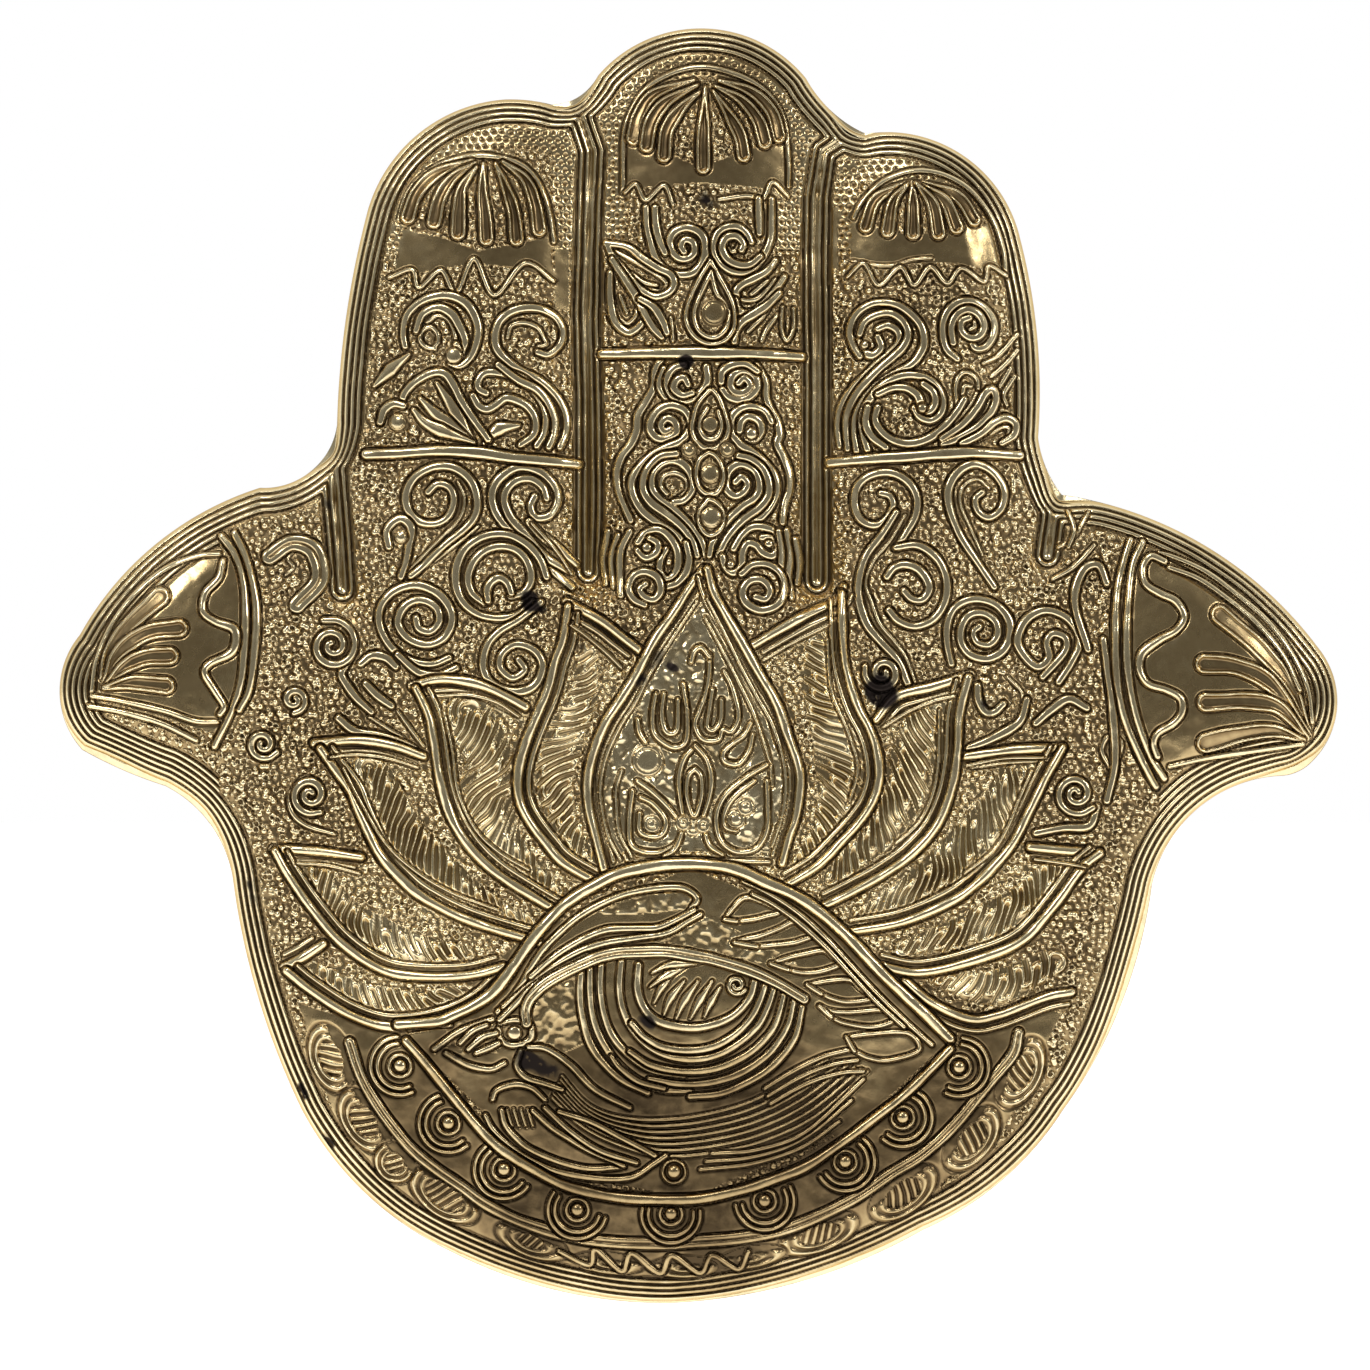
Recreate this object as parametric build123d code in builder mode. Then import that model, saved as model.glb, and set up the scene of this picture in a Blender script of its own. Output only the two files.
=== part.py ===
from build123d import *
import math
import os

# Hamsa hand wall ornament: a chased brass-coloured sheet face over a cast filler, with a board,
# a felt lining, rubber pads and a swinging D-ring at the back. Millimetres.
# +Z is up along the fingers, -Y is towards the viewer, +X is to the viewer's right.
# The origin is the middle of the hanger's eye, where the D-ring pivots.

# Hand
hand_width = 250.0
hand_height = 249.5
hanger_drop = 62.0

# Face form, as heights above the rear edge of the side wall
wall_height = 9.0
rim_step_count = 5
rim_step_width = 1.6
rim_rise = 6.5
crown_foot = 14.2
crown_margin = 0.9
finger_crown_rise = 5.4
palm_crown_rise = 6.8
thumb_crown_rise = 5.2
valley_radius = 6.0
valley_floor = 13.4
sheet_thickness = 1.0
fit_gap = 0.3
cut_overrun = 5.0

# Crowned pads of the face
finger_half_width = 20.5
palm_radius = 105.0
thumb_radius = 29.0

# Chased relief that stands on the crowned face
relief_height = 1.1
band_width = 2.6
petal_line_width = 1.8
fine_line_width = 1.3
iris_radius = 19.5
iris_inner_radius = 12.5
pupil_radius = 6.0
boss_radius = 4.6
boss_ring_width = 1.2
bead_radius = 1.5

# Back
board_thickness = 3.0
felt_thickness = 1.0
felt_margin = 4.0
felt_window_margin = 3.0
pad_radius = 6.0
pad_thickness = 4.5
pad_chamfer = 0.8
board_screw_head_radius = 3.0
board_screw_head_height = 1.8
board_screw_radius = 1.4
board_screw_length = 11.0

# Hanger
strap_thickness = 0.8
strap_width = 9.0
strap_length = 27.0
strap_corner_radius = 2.0
eye_inner_radius = 1.3
ring_wire_radius = 1.0
ring_inner_width = 14.0
ring_drop = 11.0
ring_corner_radius = 3.0
hanger_screw_radius = 1.5
hanger_screw_length = 10.0
hanger_screw_head_radius = 2.8
hanger_screw_head_height = 1.5
hanger_screw_drop = 18.0
hanger_screw_pitch = 5.8
screw_slot_width = 0.8
screw_slot_depth = 0.7
screw_clearance = 0.1

# Places are shares of the hand's width, from the pivot's line, and of its height, from the top down.
# The outline runs clockwise from the notch left of the middle finger, as arcs: a point on the way, an end.
outline_start_share = (-0.106, 0.060)
outline_arc_shares = [
    ((-0.085, 0.053), (-0.070, 0.037)),
    ((0.009, 0.000), (0.092, 0.039)),
    ((0.113, 0.065), (0.139, 0.082)),
    ((0.213, 0.098), (0.260, 0.165)),
    ((0.271, 0.221), (0.274, 0.321)),
    ((0.280, 0.345), (0.293, 0.366)),
    ((0.401, 0.403), (0.493, 0.486)),
    ((0.508, 0.531), (0.489, 0.575)),
    ((0.478, 0.583), (0.464, 0.586)),
    ((0.398, 0.613), (0.363, 0.672)),
    ((0.338, 0.770), (0.294, 0.849)),
    ((0.244, 0.905), (0.184, 0.943)),
    ((0.090, 0.983), (-0.014, 1.000)),
    ((-0.110, 0.988), (-0.188, 0.958)),
    ((-0.255, 0.911), (-0.302, 0.849)),
    ((-0.338, 0.754), (-0.356, 0.668)),
    ((-0.371, 0.629), (-0.410, 0.594)),
    ((-0.443, 0.582), (-0.475, 0.566)),
    ((-0.492, 0.527), (-0.476, 0.476)),
    ((-0.413, 0.402), (-0.335, 0.360)),
    ((-0.287, 0.338), (-0.275, 0.311)),
    ((-0.269, 0.232), (-0.251, 0.142)),
    ((-0.210, 0.082), (-0.143, 0.056)),
    ((-0.124, 0.057), (-0.106, 0.060)),
]
finger_tip_centre_shares = [(-0.163, 0.150), (0.011, 0.102), (0.180, 0.165)]
finger_foot_share = 0.46
palm_centre_share = (0.002, 0.620)
thumb_centre_shares = [(-0.376, 0.495), (0.388, 0.507)]
valley_shares = [
    [(-0.085, 0.070), (-0.078, 0.180), (-0.078, 0.425)],
    [(0.122, 0.092), (0.100, 0.165), (0.100, 0.432)],
    [(-0.276, 0.345), (-0.270, 0.435)],
    [(0.285, 0.370), (0.281, 0.410)],
]

# Chased lines, each an arc through three places
cross_bar_shares = [
    ((-0.245, 0.335), (-0.166, 0.333), (-0.086, 0.343)),
    ((-0.068, 0.258), (0.010, 0.257), (0.088, 0.260)),
    ((0.110, 0.341), (0.186, 0.336), (0.258, 0.336)),
]
finger_arch_shares = [
    ((-0.222, 0.154), (-0.159, 0.101), (-0.108, 0.158)),
    ((-0.047, 0.130), (0.009, 0.042), (0.080, 0.130)),
    ((0.136, 0.158), (0.182, 0.117), (0.236, 0.166)),
]
thumb_band_shares = [
    ((-0.351, 0.393), (-0.334, 0.480), (-0.363, 0.574)),
    ((0.345, 0.405), (0.334, 0.480), (0.362, 0.597)),
]
row_line_shares = [
    ((-0.288, 0.735), (-0.010, 0.945), (0.290, 0.735)),
    ((-0.225, 0.800), (-0.008, 0.893), (0.215, 0.800)),
]
eye_corner_shares = [(-0.215, 0.790), (0.207, 0.793)]
eye_top_share = (-0.006, 0.658)
eye_bottom_share = (0.002, 0.905)
lid_corner_shares = [(-0.155, 0.772), (0.140, 0.790)]
lid_top_share = (0.000, 0.712)
lid_bottom_share = (-0.005, 0.865)
iris_centre_share = (0.002, 0.760)
boss_shares = [
    (-0.276, 0.794), (-0.225, 0.812), (-0.190, 0.856), (-0.144, 0.892), (-0.085, 0.924),
    (-0.016, 0.926), (0.060, 0.917), (0.122, 0.887), (0.168, 0.853), (0.213, 0.813),
]

# A petal is its left foot, its tip and its right foot, with a place that each side passes on its way
middle_petal_share = ((-0.050, 0.660), (-0.062, 0.560), (0.010, 0.434), (0.082, 0.560), (0.070, 0.660))
side_petal_shares = [
    ((-0.085, 0.665), (-0.112, 0.560), (-0.092, 0.455), (-0.062, 0.500), (-0.062, 0.555)),
    ((-0.130, 0.690), (-0.190, 0.620), (-0.208, 0.520), (-0.120, 0.585), (-0.092, 0.665)),
    ((-0.150, 0.712), (-0.235, 0.660), (-0.288, 0.566), (-0.190, 0.605), (-0.135, 0.690)),
    ((-0.170, 0.740), (-0.255, 0.715), (-0.318, 0.648), (-0.235, 0.665), (-0.155, 0.715)),
    ((-0.200, 0.775), (-0.255, 0.765), (-0.305, 0.735), (-0.245, 0.725), (-0.180, 0.745)),
]
petal_mirror_share = 0.010

# Places on the back
board_screw_shares = [
    (-0.330, 0.500),
    (0.345, 0.510),
    (-0.165, 0.300),
    (0.185, 0.300),
    (-0.180, 0.850),
    (0.180, 0.850),
]
pad_shares = [(-0.160, 0.180), (0.180, 0.195), (-0.110, 0.920), (0.110, 0.920)]

# Depths, measured from the pivot towards the viewer
board_rear = eye_inner_radius + strap_thickness
board_front = board_rear + board_thickness
felt_rear = board_rear - felt_thickness
wall_plane = felt_rear - pad_thickness
rim_reach = (rim_step_count - 1) * rim_step_width
relief_reach = crown_foot + palm_crown_rise + finger_crown_rise


def place(share):
    """Turns a pair of shares into a place on the face."""
    return (share[0] * hand_width, hanger_drop - share[1] * hand_height)


def arc_band(shares, width):
    """Adds a chased line of this width along an arc to the sketch being built."""
    with BuildLine():
        line = ThreePointArc(place(shares[0]), place(shares[1]), place(shares[2]))
    trace(line, line_width=width)


def lens_face(corners, top, bottom, inset=0.0):
    """A closed eye shape between two corners, drawn in by an inset."""
    with BuildSketch(mode=Mode.PRIVATE) as lens:
        with BuildLine():
            ThreePointArc(place(corners[0]), place(top), place(corners[1]))
            ThreePointArc(place(corners[1]), place(bottom), place(corners[0]))
        make_face()
        if inset > 0:
            offset(amount=-inset)
    return lens.sketch


with BuildSketch() as hand:
    with BuildLine():
        start = place(outline_start_share)
        for way_share, end_share in outline_arc_shares:
            ThreePointArc(start, place(way_share), place(end_share))
            start = place(end_share)
    make_face()


def hand_sheet(inset):
    """The hand's outline drawn in by an inset."""
    if inset == 0:
        return hand.sketch
    return offset(hand.sketch, amount=-inset)


def rim_height(step):
    """The height of a rim step above the rear edge, on a quarter of an ellipse."""
    turn = step / (rim_step_count - 1)
    return wall_height + rim_rise * math.sqrt(1 - (1 - turn) ** 2)


def bulge_radius(half_width, rise):
    """The radius of the arc that rises this much over this half width."""
    return (half_width**2 + rise**2) / (2 * rise)


def crowned_top(edge_inset, crown_inset, lowering):
    """The crowned pads of the fingers, palm and thumbs, cut to the drawn-in outline."""
    crown_plane = board_rear + crown_foot - lowering
    with BuildPart() as crowns:
        for share in finger_tip_centre_shares:
            tip_x, tip_z = place(share)
            foot_z = tip_z - (finger_foot_share - share[1]) * hand_height
            radius = bulge_radius(finger_half_width - crown_inset, finger_crown_rise)
            depth = crown_plane + finger_crown_rise - radius
            with Locations((tip_x, -depth, tip_z), (tip_x, -depth, foot_z)):
                Sphere(radius)
            with Locations((tip_x, -depth, foot_z)):
                Cylinder(radius, tip_z - foot_z, align=(Align.CENTER, Align.CENTER, Align.MIN))
        for share, cap_radius, rise in [
            (palm_centre_share, palm_radius, palm_crown_rise),
            (thumb_centre_shares[0], thumb_radius, thumb_crown_rise),
            (thumb_centre_shares[1], thumb_radius, thumb_crown_rise),
        ]:
            middle_x, middle_z = place(share)
            radius = bulge_radius(cap_radius - crown_inset, rise)
            with Locations((middle_x, radius - crown_plane - rise, middle_z)):
                Sphere(radius)
        with BuildSketch(Plane.XZ.offset(crown_plane)):
            add(hand_sheet(edge_inset))
        extrude(amount=palm_crown_rise + finger_crown_rise, mode=Mode.INTERSECT)
    return crowns.part


def valley_cutters(lowering):
    """Round-ended cutters along the valleys between the fingers and beside the thumbs."""
    radius = valley_radius + lowering
    depth = board_rear + valley_floor + valley_radius
    with BuildPart() as cutters:
        for run in valley_shares:
            with Locations([(place(share)[0], -depth, place(share)[1]) for share in run]):
                Sphere(radius)
            for share, next_share in zip(run, run[1:]):
                head_x, head_z = place(share)
                foot_x, foot_z = place(next_share)
                run_length = math.hypot(foot_x - head_x, foot_z - head_z)
                run_angle = math.degrees(math.atan2(foot_x - head_x, foot_z - head_z))
                with Locations(Pos(head_x, -depth, head_z) * Rot(0, run_angle, 0)):
                    Cylinder(radius, run_length, align=(Align.CENTER, Align.CENTER, Align.MIN))
    return cutters.part


def hand_form(rear, inset, lowering):
    """The hand's solid from a rear plane to the stepped rim and the crowned face, with its valleys."""
    with BuildPart() as form:
        for step in range(rim_step_count):
            with BuildSketch(Plane.XZ.offset(rear)):
                add(hand_sheet(inset + step * rim_step_width))
            extrude(amount=board_rear + rim_height(step) - lowering - rear)
        add(crowned_top(inset + rim_reach + crown_margin, inset, lowering))
        add(valley_cutters(lowering), mode=Mode.SUBTRACT)
    return form.part


# Chased lines of the face, drawn flat and later cut to the crowned face
with BuildSketch(Plane.XZ.offset(board_rear + wall_height)) as chased_lines:
    for foot, way_up, tip, way_down, end in side_petal_shares:
        for side in (1, -1):
            shift = 0 if side == 1 else petal_mirror_share
            left = [(side * x + shift, drop) for x, drop in (foot, way_up, tip)]
            right = [(side * x + shift, drop) for x, drop in (tip, way_down, end)]
            arc_band(left, petal_line_width)
            arc_band(right, petal_line_width)
    arc_band(middle_petal_share[:3], band_width)
    arc_band(middle_petal_share[2:], band_width)
    add(lens_face(eye_corner_shares, eye_top_share, eye_bottom_share), mode=Mode.SUBTRACT)
    for shares in row_line_shares:
        arc_band(shares, petal_line_width)
    add(lens_face(eye_corner_shares, eye_top_share, eye_bottom_share))
    add(lens_face(eye_corner_shares, eye_top_share, eye_bottom_share, band_width), mode=Mode.SUBTRACT)
    with BuildSketch(mode=Mode.PRIVATE) as iris:
        with Locations(place(iris_centre_share)):
            Circle(iris_radius)
            Circle(iris_radius - band_width, mode=Mode.SUBTRACT)
            Circle(iris_inner_radius)
            Circle(iris_inner_radius - fine_line_width, mode=Mode.SUBTRACT)
            Circle(pupil_radius)
        add(lens_face(lid_corner_shares, lid_top_share, lid_bottom_share), mode=Mode.INTERSECT)
    add(lens_face(lid_corner_shares, lid_top_share, lid_bottom_share))
    add(lens_face(lid_corner_shares, lid_top_share, lid_bottom_share, petal_line_width), mode=Mode.SUBTRACT)
    add(iris.sketch)
    with Locations([place(share) for share in boss_shares]):
        Circle(boss_radius)
        Circle(boss_radius - boss_ring_width, mode=Mode.SUBTRACT)
        Circle(bead_radius)
    for shares in cross_bar_shares + thumb_band_shares:
        arc_band(shares, petal_line_width)
    for shares in finger_arch_shares:
        arc_band(shares, fine_line_width)

with BuildPart() as relief_limit:
    with BuildSketch(Plane.XZ.offset(board_rear)):
        add(hand_sheet(rim_reach + crown_margin / 2))
    extrude(amount=wall_height + rim_rise + relief_height)
    add(crowned_top(rim_reach + crown_margin, 0, -relief_height))
    add(valley_cutters(-relief_height), mode=Mode.SUBTRACT)

# Each chased line, from inside the face form up to the relief's height
raised_lines = []
for face in chased_lines.sketch.faces():
    line = extrude(face, amount=relief_reach) & relief_limit.part
    raised_lines.extend(line.solids())

# Sheet face with its side wall
with BuildPart() as face_shell:
    add(hand_form(board_rear, 0, 0))
    add(raised_lines)
    cavity_rear = board_rear - cut_overrun
    add(hand_form(cavity_rear, sheet_thickness, sheet_thickness), mode=Mode.SUBTRACT)

# Places of the screws, from the pivot
board_screw_places = [place(share) for share in board_screw_shares]
hanger_screw_places = [(0, -hanger_screw_drop), (0, -hanger_screw_drop - hanger_screw_pitch)]
strap_rear = board_rear - strap_thickness


def screw_holes(places, radius, rear, front):
    """Bores from a rear depth to a front depth, to cut from the part being built."""
    with BuildSketch(Plane.XZ.offset(rear), mode=Mode.PRIVATE) as bores:
        with Locations(places):
            Circle(radius + screw_clearance)
    extrude(bores.sketch, amount=front - rear, mode=Mode.SUBTRACT)


# Cast filler behind the sheet
filler_inset = sheet_thickness + fit_gap
with BuildPart() as filler_core:
    add(hand_form(board_front, filler_inset, filler_inset))
    board_screw_tip = board_rear + board_screw_length + screw_clearance
    hanger_screw_tip = strap_rear + hanger_screw_length + screw_clearance
    screw_holes(board_screw_places, board_screw_radius, board_front, board_screw_tip)
    screw_holes(hanger_screw_places, hanger_screw_radius, board_front, hanger_screw_tip)

# Board let into the rear edge
with BuildPart() as back_board:
    with BuildSketch(Plane.XZ.offset(board_rear)):
        add(hand_sheet(filler_inset))
    extrude(amount=board_thickness)
    screw_holes(board_screw_places, board_screw_radius, board_rear - cut_overrun, board_front + cut_overrun)
    screw_holes(hanger_screw_places, hanger_screw_radius, board_rear - cut_overrun, board_front + cut_overrun)
    sink_slope = (board_screw_head_radius - board_screw_radius) / board_screw_head_height
    for screw_x, screw_z in board_screw_places:
        with Locations(Plane.XZ.offset(board_rear + board_screw_head_height / 2) * Pos(screw_x, screw_z, 0)):
            Cone(
                board_screw_head_radius + screw_clearance,
                board_screw_radius + screw_clearance,
                board_screw_head_height,
                mode=Mode.SUBTRACT,
            )

# Felt lining with a window round the hanger
ring_half_width = ring_inner_width / 2 + ring_wire_radius
ring_reach = ring_drop + 2 * ring_wire_radius
window_half_width = ring_half_width + ring_wire_radius + felt_window_margin
window_top = ring_reach + ring_wire_radius + felt_window_margin
window_bottom = -strap_length - felt_window_margin
with BuildPart() as back_felt:
    with BuildSketch(Plane.XZ.offset(felt_rear)):
        add(hand_sheet(filler_inset + felt_margin))
        with Locations((0, (window_top + window_bottom) / 2)):
            Rectangle(2 * window_half_width, window_top - window_bottom, mode=Mode.SUBTRACT)
    extrude(amount=felt_thickness)

# Rubber pads on the felt
with BuildPart() as wall_pads:
    with BuildSketch(Plane.XZ.offset(wall_plane)):
        with Locations([place(share) for share in pad_shares]):
            Circle(pad_radius)
    extrude(amount=pad_thickness)
    chamfer(wall_pads.faces().sort_by(Axis.Y)[-len(pad_shares):].edges(), length=pad_chamfer)

# Countersunk screws of the board
with BuildPart() as board_screws:
    with BuildSketch(Plane.XZ.offset(board_rear)):
        with Locations(board_screw_places):
            Circle(board_screw_radius)
    extrude(amount=board_screw_length)
    for screw_x, screw_z in board_screw_places:
        with Locations(Plane.XZ.offset(board_rear + board_screw_head_height / 2) * Pos(screw_x, screw_z, 0)):
            Cone(board_screw_head_radius, board_screw_radius, board_screw_head_height)
        with Locations((screw_x, -board_rear, screw_z)):
            Box(2 * board_screw_head_radius, 2 * screw_slot_depth, screw_slot_width, mode=Mode.SUBTRACT)

# Strap with a rolled eye, and its screws
with BuildPart() as hanger_strap:
    with BuildSketch(Plane.YZ):
        with Locations((-board_rear, 0)):
            Rectangle(strap_thickness, strap_length, align=(Align.MIN, Align.MAX))
        Circle(eye_inner_radius + strap_thickness)
        Circle(eye_inner_radius, mode=Mode.SUBTRACT)
    extrude(amount=strap_width / 2, both=True)
    tail_corners = hanger_strap.edges().filter_by(Axis.Y).group_by(Axis.Z)[0]
    fillet(tail_corners, radius=strap_corner_radius)
    screw_holes(hanger_screw_places, hanger_screw_radius, strap_rear - cut_overrun, board_rear + cut_overrun)

with BuildPart() as hanger_screws:
    with BuildSketch(Plane.XZ.offset(strap_rear)):
        with Locations(hanger_screw_places):
            Circle(hanger_screw_radius)
    extrude(amount=hanger_screw_length)
    with BuildSketch(Plane.XZ.offset(strap_rear - hanger_screw_head_height)):
        with Locations(hanger_screw_places):
            Circle(hanger_screw_head_radius)
    extrude(amount=hanger_screw_head_height)
    head_rims = hanger_screws.faces().sort_by(Axis.Y)[-len(hanger_screw_places):].edges()
    fillet(head_rims, radius=hanger_screw_head_height / 2)
    for screw_x, screw_z in hanger_screw_places:
        with Locations((screw_x, hanger_screw_head_height - strap_rear, screw_z)):
            Box(2 * hanger_screw_head_radius, 2 * screw_slot_depth, screw_slot_width, mode=Mode.SUBTRACT)

# D-ring, hanging down from the eye
with BuildPart() as hanger_ring:
    with BuildLine(Plane.XZ) as ring_path:
        side_x = ring_half_width
        inner_x = side_x - ring_corner_radius
        corner_x = side_x - ring_corner_radius * (1 - math.sin(math.pi / 4))
        corner_z = -ring_corner_radius * (1 - math.sin(math.pi / 4))
        bow_z = side_x - ring_reach
        Line((0, 0), (inner_x, 0))
        ThreePointArc((inner_x, 0), (corner_x, corner_z), (side_x, -ring_corner_radius))
        Line((side_x, -ring_corner_radius), (side_x, bow_z))
        ThreePointArc((side_x, bow_z), (0, -ring_reach), (-side_x, bow_z))
        Line((-side_x, bow_z), (-side_x, -ring_corner_radius))
        ThreePointArc((-side_x, -ring_corner_radius), (-corner_x, corner_z), (-inner_x, 0))
        Line((-inner_x, 0), (0, 0))
    with BuildSketch(Plane.YZ):
        Circle(ring_wire_radius)
    sweep(path=ring_path.wires()[0])

os.makedirs("parts", exist_ok=True)
pieces = {
    "face_shell": face_shell,
    "filler_core": filler_core,
    "back_board": back_board,
    "back_felt": back_felt,
    "wall_pads": wall_pads,
    "board_screws": board_screws,
    "hanger_strap": hanger_strap,
    "hanger_screws": hanger_screws,
    "hanger_ring": hanger_ring,
}
for name, piece in pieces.items():
    piece.part.label = name
    export_step(piece.part, f"parts/{name}.step")
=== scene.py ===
import math
import bpy
import numpy as np
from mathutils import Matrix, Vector


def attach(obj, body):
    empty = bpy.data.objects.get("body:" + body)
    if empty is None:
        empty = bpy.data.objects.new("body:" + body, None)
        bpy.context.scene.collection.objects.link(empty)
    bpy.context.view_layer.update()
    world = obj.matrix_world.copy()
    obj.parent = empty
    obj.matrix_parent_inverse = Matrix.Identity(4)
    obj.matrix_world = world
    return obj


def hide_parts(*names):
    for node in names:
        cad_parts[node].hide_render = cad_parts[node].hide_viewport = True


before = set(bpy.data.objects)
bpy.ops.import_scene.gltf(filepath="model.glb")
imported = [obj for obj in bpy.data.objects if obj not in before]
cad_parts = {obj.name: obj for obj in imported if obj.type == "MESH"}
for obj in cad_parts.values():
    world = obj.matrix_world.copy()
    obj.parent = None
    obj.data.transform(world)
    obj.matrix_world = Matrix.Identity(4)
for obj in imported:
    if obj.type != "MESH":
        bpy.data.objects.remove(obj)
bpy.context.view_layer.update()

# The chased face is one height map over the photograph's own pixels: a smooth
# hand, then its cords, then every chased stroke laid over what is under it.
# Heights are millimetres above the side wall's rear edge.

picture = dict(
    midX=688.0, topY=29.0, wide=1277.0, high=1274.0,  # the hand, in pixels of the 1370-pixel picture
    wideMm=250.0, highMm=249.5, topMm=62.0, rearMm=2.1,
)
raster = dict(
    left=46.0, top=14.0, right=1352.0, bottom=1316.0,  # pixels
    step=0.6,  # pixels between nodes
    coarse=3.0,  # pixels between the distances' nodes
    meshEvery=2,  # nodes of the map to one of the mesh
    meshFrom=5.2,  # pixels in from the edge, just under the rim's mesh
)
mmPerPx = picture["wideMm"] / picture["wide"]


def placeX(px):  # metres to the right from picture pixels
    return (px - picture["midX"]) * picture["wideMm"] / picture["wide"] / 1000


def placeZ(py):  # metres up from picture pixels
    return (picture["topMm"] - (py - picture["topY"]) * picture["highMm"] / picture["high"]) / 1000


def placeY(height):  # metres, towards the wall, from a height in millimetres
    return -(picture["rearMm"] + height) / 1000


colCount = int((raster["right"] - raster["left"]) / raster["step"]) + 1
rowCount = int((raster["bottom"] - raster["top"]) / raster["step"]) + 1
colPx = raster["left"] + np.arange(colCount) * raster["step"]
rowPx = raster["top"] + np.arange(rowCount) * raster["step"]


def splineWeights(count, step, wave):
    # cubic B-spline weights of lattice points one wave apart at evenly spaced places
    place = np.arange(count) * step / wave
    cell = np.floor(place).astype(int)
    t = place - cell
    weights = np.zeros((count, cell.max() + 4), np.float32)
    rows = np.arange(count)
    weights[rows, cell] = (1 - t) ** 3 / 6
    weights[rows, cell + 1] = (3 * t ** 3 - 6 * t ** 2 + 4) / 6
    weights[rows, cell + 2] = (-3 * t ** 3 + 3 * t ** 2 + 3 * t + 1) / 6
    weights[rows, cell + 3] = t ** 3 / 6
    return weights


def noiseField(wave, seed):
    # smooth random field between about -1 and 1: a random lattice under the spline
    across = splineWeights(colCount, raster["step"], wave)
    down = splineWeights(rowCount, raster["step"], wave)
    rng = np.random.default_rng(seed)
    lattice = rng.uniform(-1.6, 1.6, (down.shape[1], across.shape[1])).astype(np.float32)
    return down @ lattice @ across.T


def arcPoints(start, way, end, spacing):
    # points on the circle through three points, evenly turned from first to last
    (ax, ay), (bx, by), (cx, cy) = start, way, end
    twice = 2 * (ax * (by - cy) + bx * (cy - ay) + cx * (ay - by))
    if abs(twice) < 1e-6:
        share = np.linspace(0, 1, max(2, int(math.dist(start, end) / spacing)))[:, None]
        return np.array(start) * (1 - share) + np.array(end) * share
    sa, sb, sc = ax * ax + ay * ay, bx * bx + by * by, cx * cx + cy * cy
    ux = (sa * (by - cy) + sb * (cy - ay) + sc * (ay - by)) / twice
    uy = (sa * (cx - bx) + sb * (ax - cx) + sc * (bx - ax)) / twice
    turns = [math.atan2(y - uy, x - ux) for x, y in (start, way, end)]
    sweep = (turns[2] - turns[0]) % (2 * math.pi)
    if (turns[1] - turns[0]) % (2 * math.pi) > sweep:
        sweep -= 2 * math.pi
    radius = math.hypot(ax - ux, ay - uy)
    angle = turns[0] + sweep * np.linspace(0, 1, max(2, int(abs(sweep) * radius / spacing)))
    return np.stack([ux + radius * np.cos(angle), uy + radius * np.sin(angle)], 1)


outline = dict(
    spacing=2.0,  # pixels
    start=(552, 105),
    arcs=[  # a point on the way, then the end, of each arc
        ((580, 96), (598, 76)), ((700, 29), (806, 79)), ((832, 112), (866, 134)),
        ((960, 154), (1020, 239)), ((1034, 310), (1038, 438)), ((1046, 468), (1062, 495)),
        ((1200, 543), (1318, 648)), ((1337, 705), (1312, 762)), ((1300, 771), (1280, 776)),
        ((1196, 810), (1152, 885)), ((1119, 1010), (1063, 1110)), ((1000, 1182), (923, 1230)),
        ((803, 1281), (670, 1303)), ((547, 1288), (448, 1250)), ((362, 1190), (302, 1110)),
        ((256, 990), (233, 880)), ((214, 830), (165, 786)), ((122, 770), (82, 750)),
        ((60, 700), (80, 635)), ((160, 541), (260, 488)), ((322, 460), (337, 425)),
        ((345, 325), (368, 210)), ((420, 133), (505, 100)), ((530, 101), (552, 105)),
    ],
)
edgeRuns = []
here = outline["start"]
for way, end in outline["arcs"]:
    edgeRuns.append(arcPoints(here, way, end, outline["spacing"])[:-1])
    here = end
edge = np.concatenate(edgeRuns)
print("outline:", len(edge), "points")


def distanceTo(points, xs, ys, closed=False):
    # least distance from each node to the runs between the points
    starts = points if closed else points[:-1]
    ends = np.roll(points, -1, 0) if closed else points[1:]
    best = np.full((len(ys), len(xs)), 1e9, np.float32)
    gx, gy = np.meshgrid(xs, ys)
    for k in range(0, len(starts), 16):
        a, b = starts[k:k + 16], ends[k:k + 16]
        run = b - a
        length = (run ** 2).sum(1) + 1e-9
        rx = gx[..., None] - a[:, 0]
        ry = gy[..., None] - a[:, 1]
        t = np.clip((rx * run[:, 0] + ry * run[:, 1]) / length, 0, 1)
        near = (rx - t * run[:, 0]) ** 2 + (ry - t * run[:, 1]) ** 2
        best = np.minimum(best, near.min(-1))
    return np.sqrt(best)


def insideOf(points, xs, ys):
    # even-odd test of each node against a closed run of points
    gx, gy = np.meshgrid(xs, ys)
    odd = np.zeros(gx.shape, bool)
    for (ax, ay), (bx, by) in zip(points, np.roll(points, -1, 0)):
        if ay != by:
            odd ^= ((ay > gy) != (by > gy)) & (gx < (bx - ax) * (gy - ay) / (by - ay) + ax)
    return odd


acrossFine = splineWeights(colCount, raster["step"], raster["coarse"])
downFine = splineWeights(rowCount, raster["step"], raster["coarse"])
coarseX = raster["left"] + (np.arange(acrossFine.shape[1]) - 1) * raster["coarse"]
coarseY = raster["top"] + (np.arange(downFine.shape[1]) - 1) * raster["coarse"]


def toFine(values):  # coarse nodes to the map's own, through the spline
    return downFine @ values.astype(np.float32) @ acrossFine.T


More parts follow.
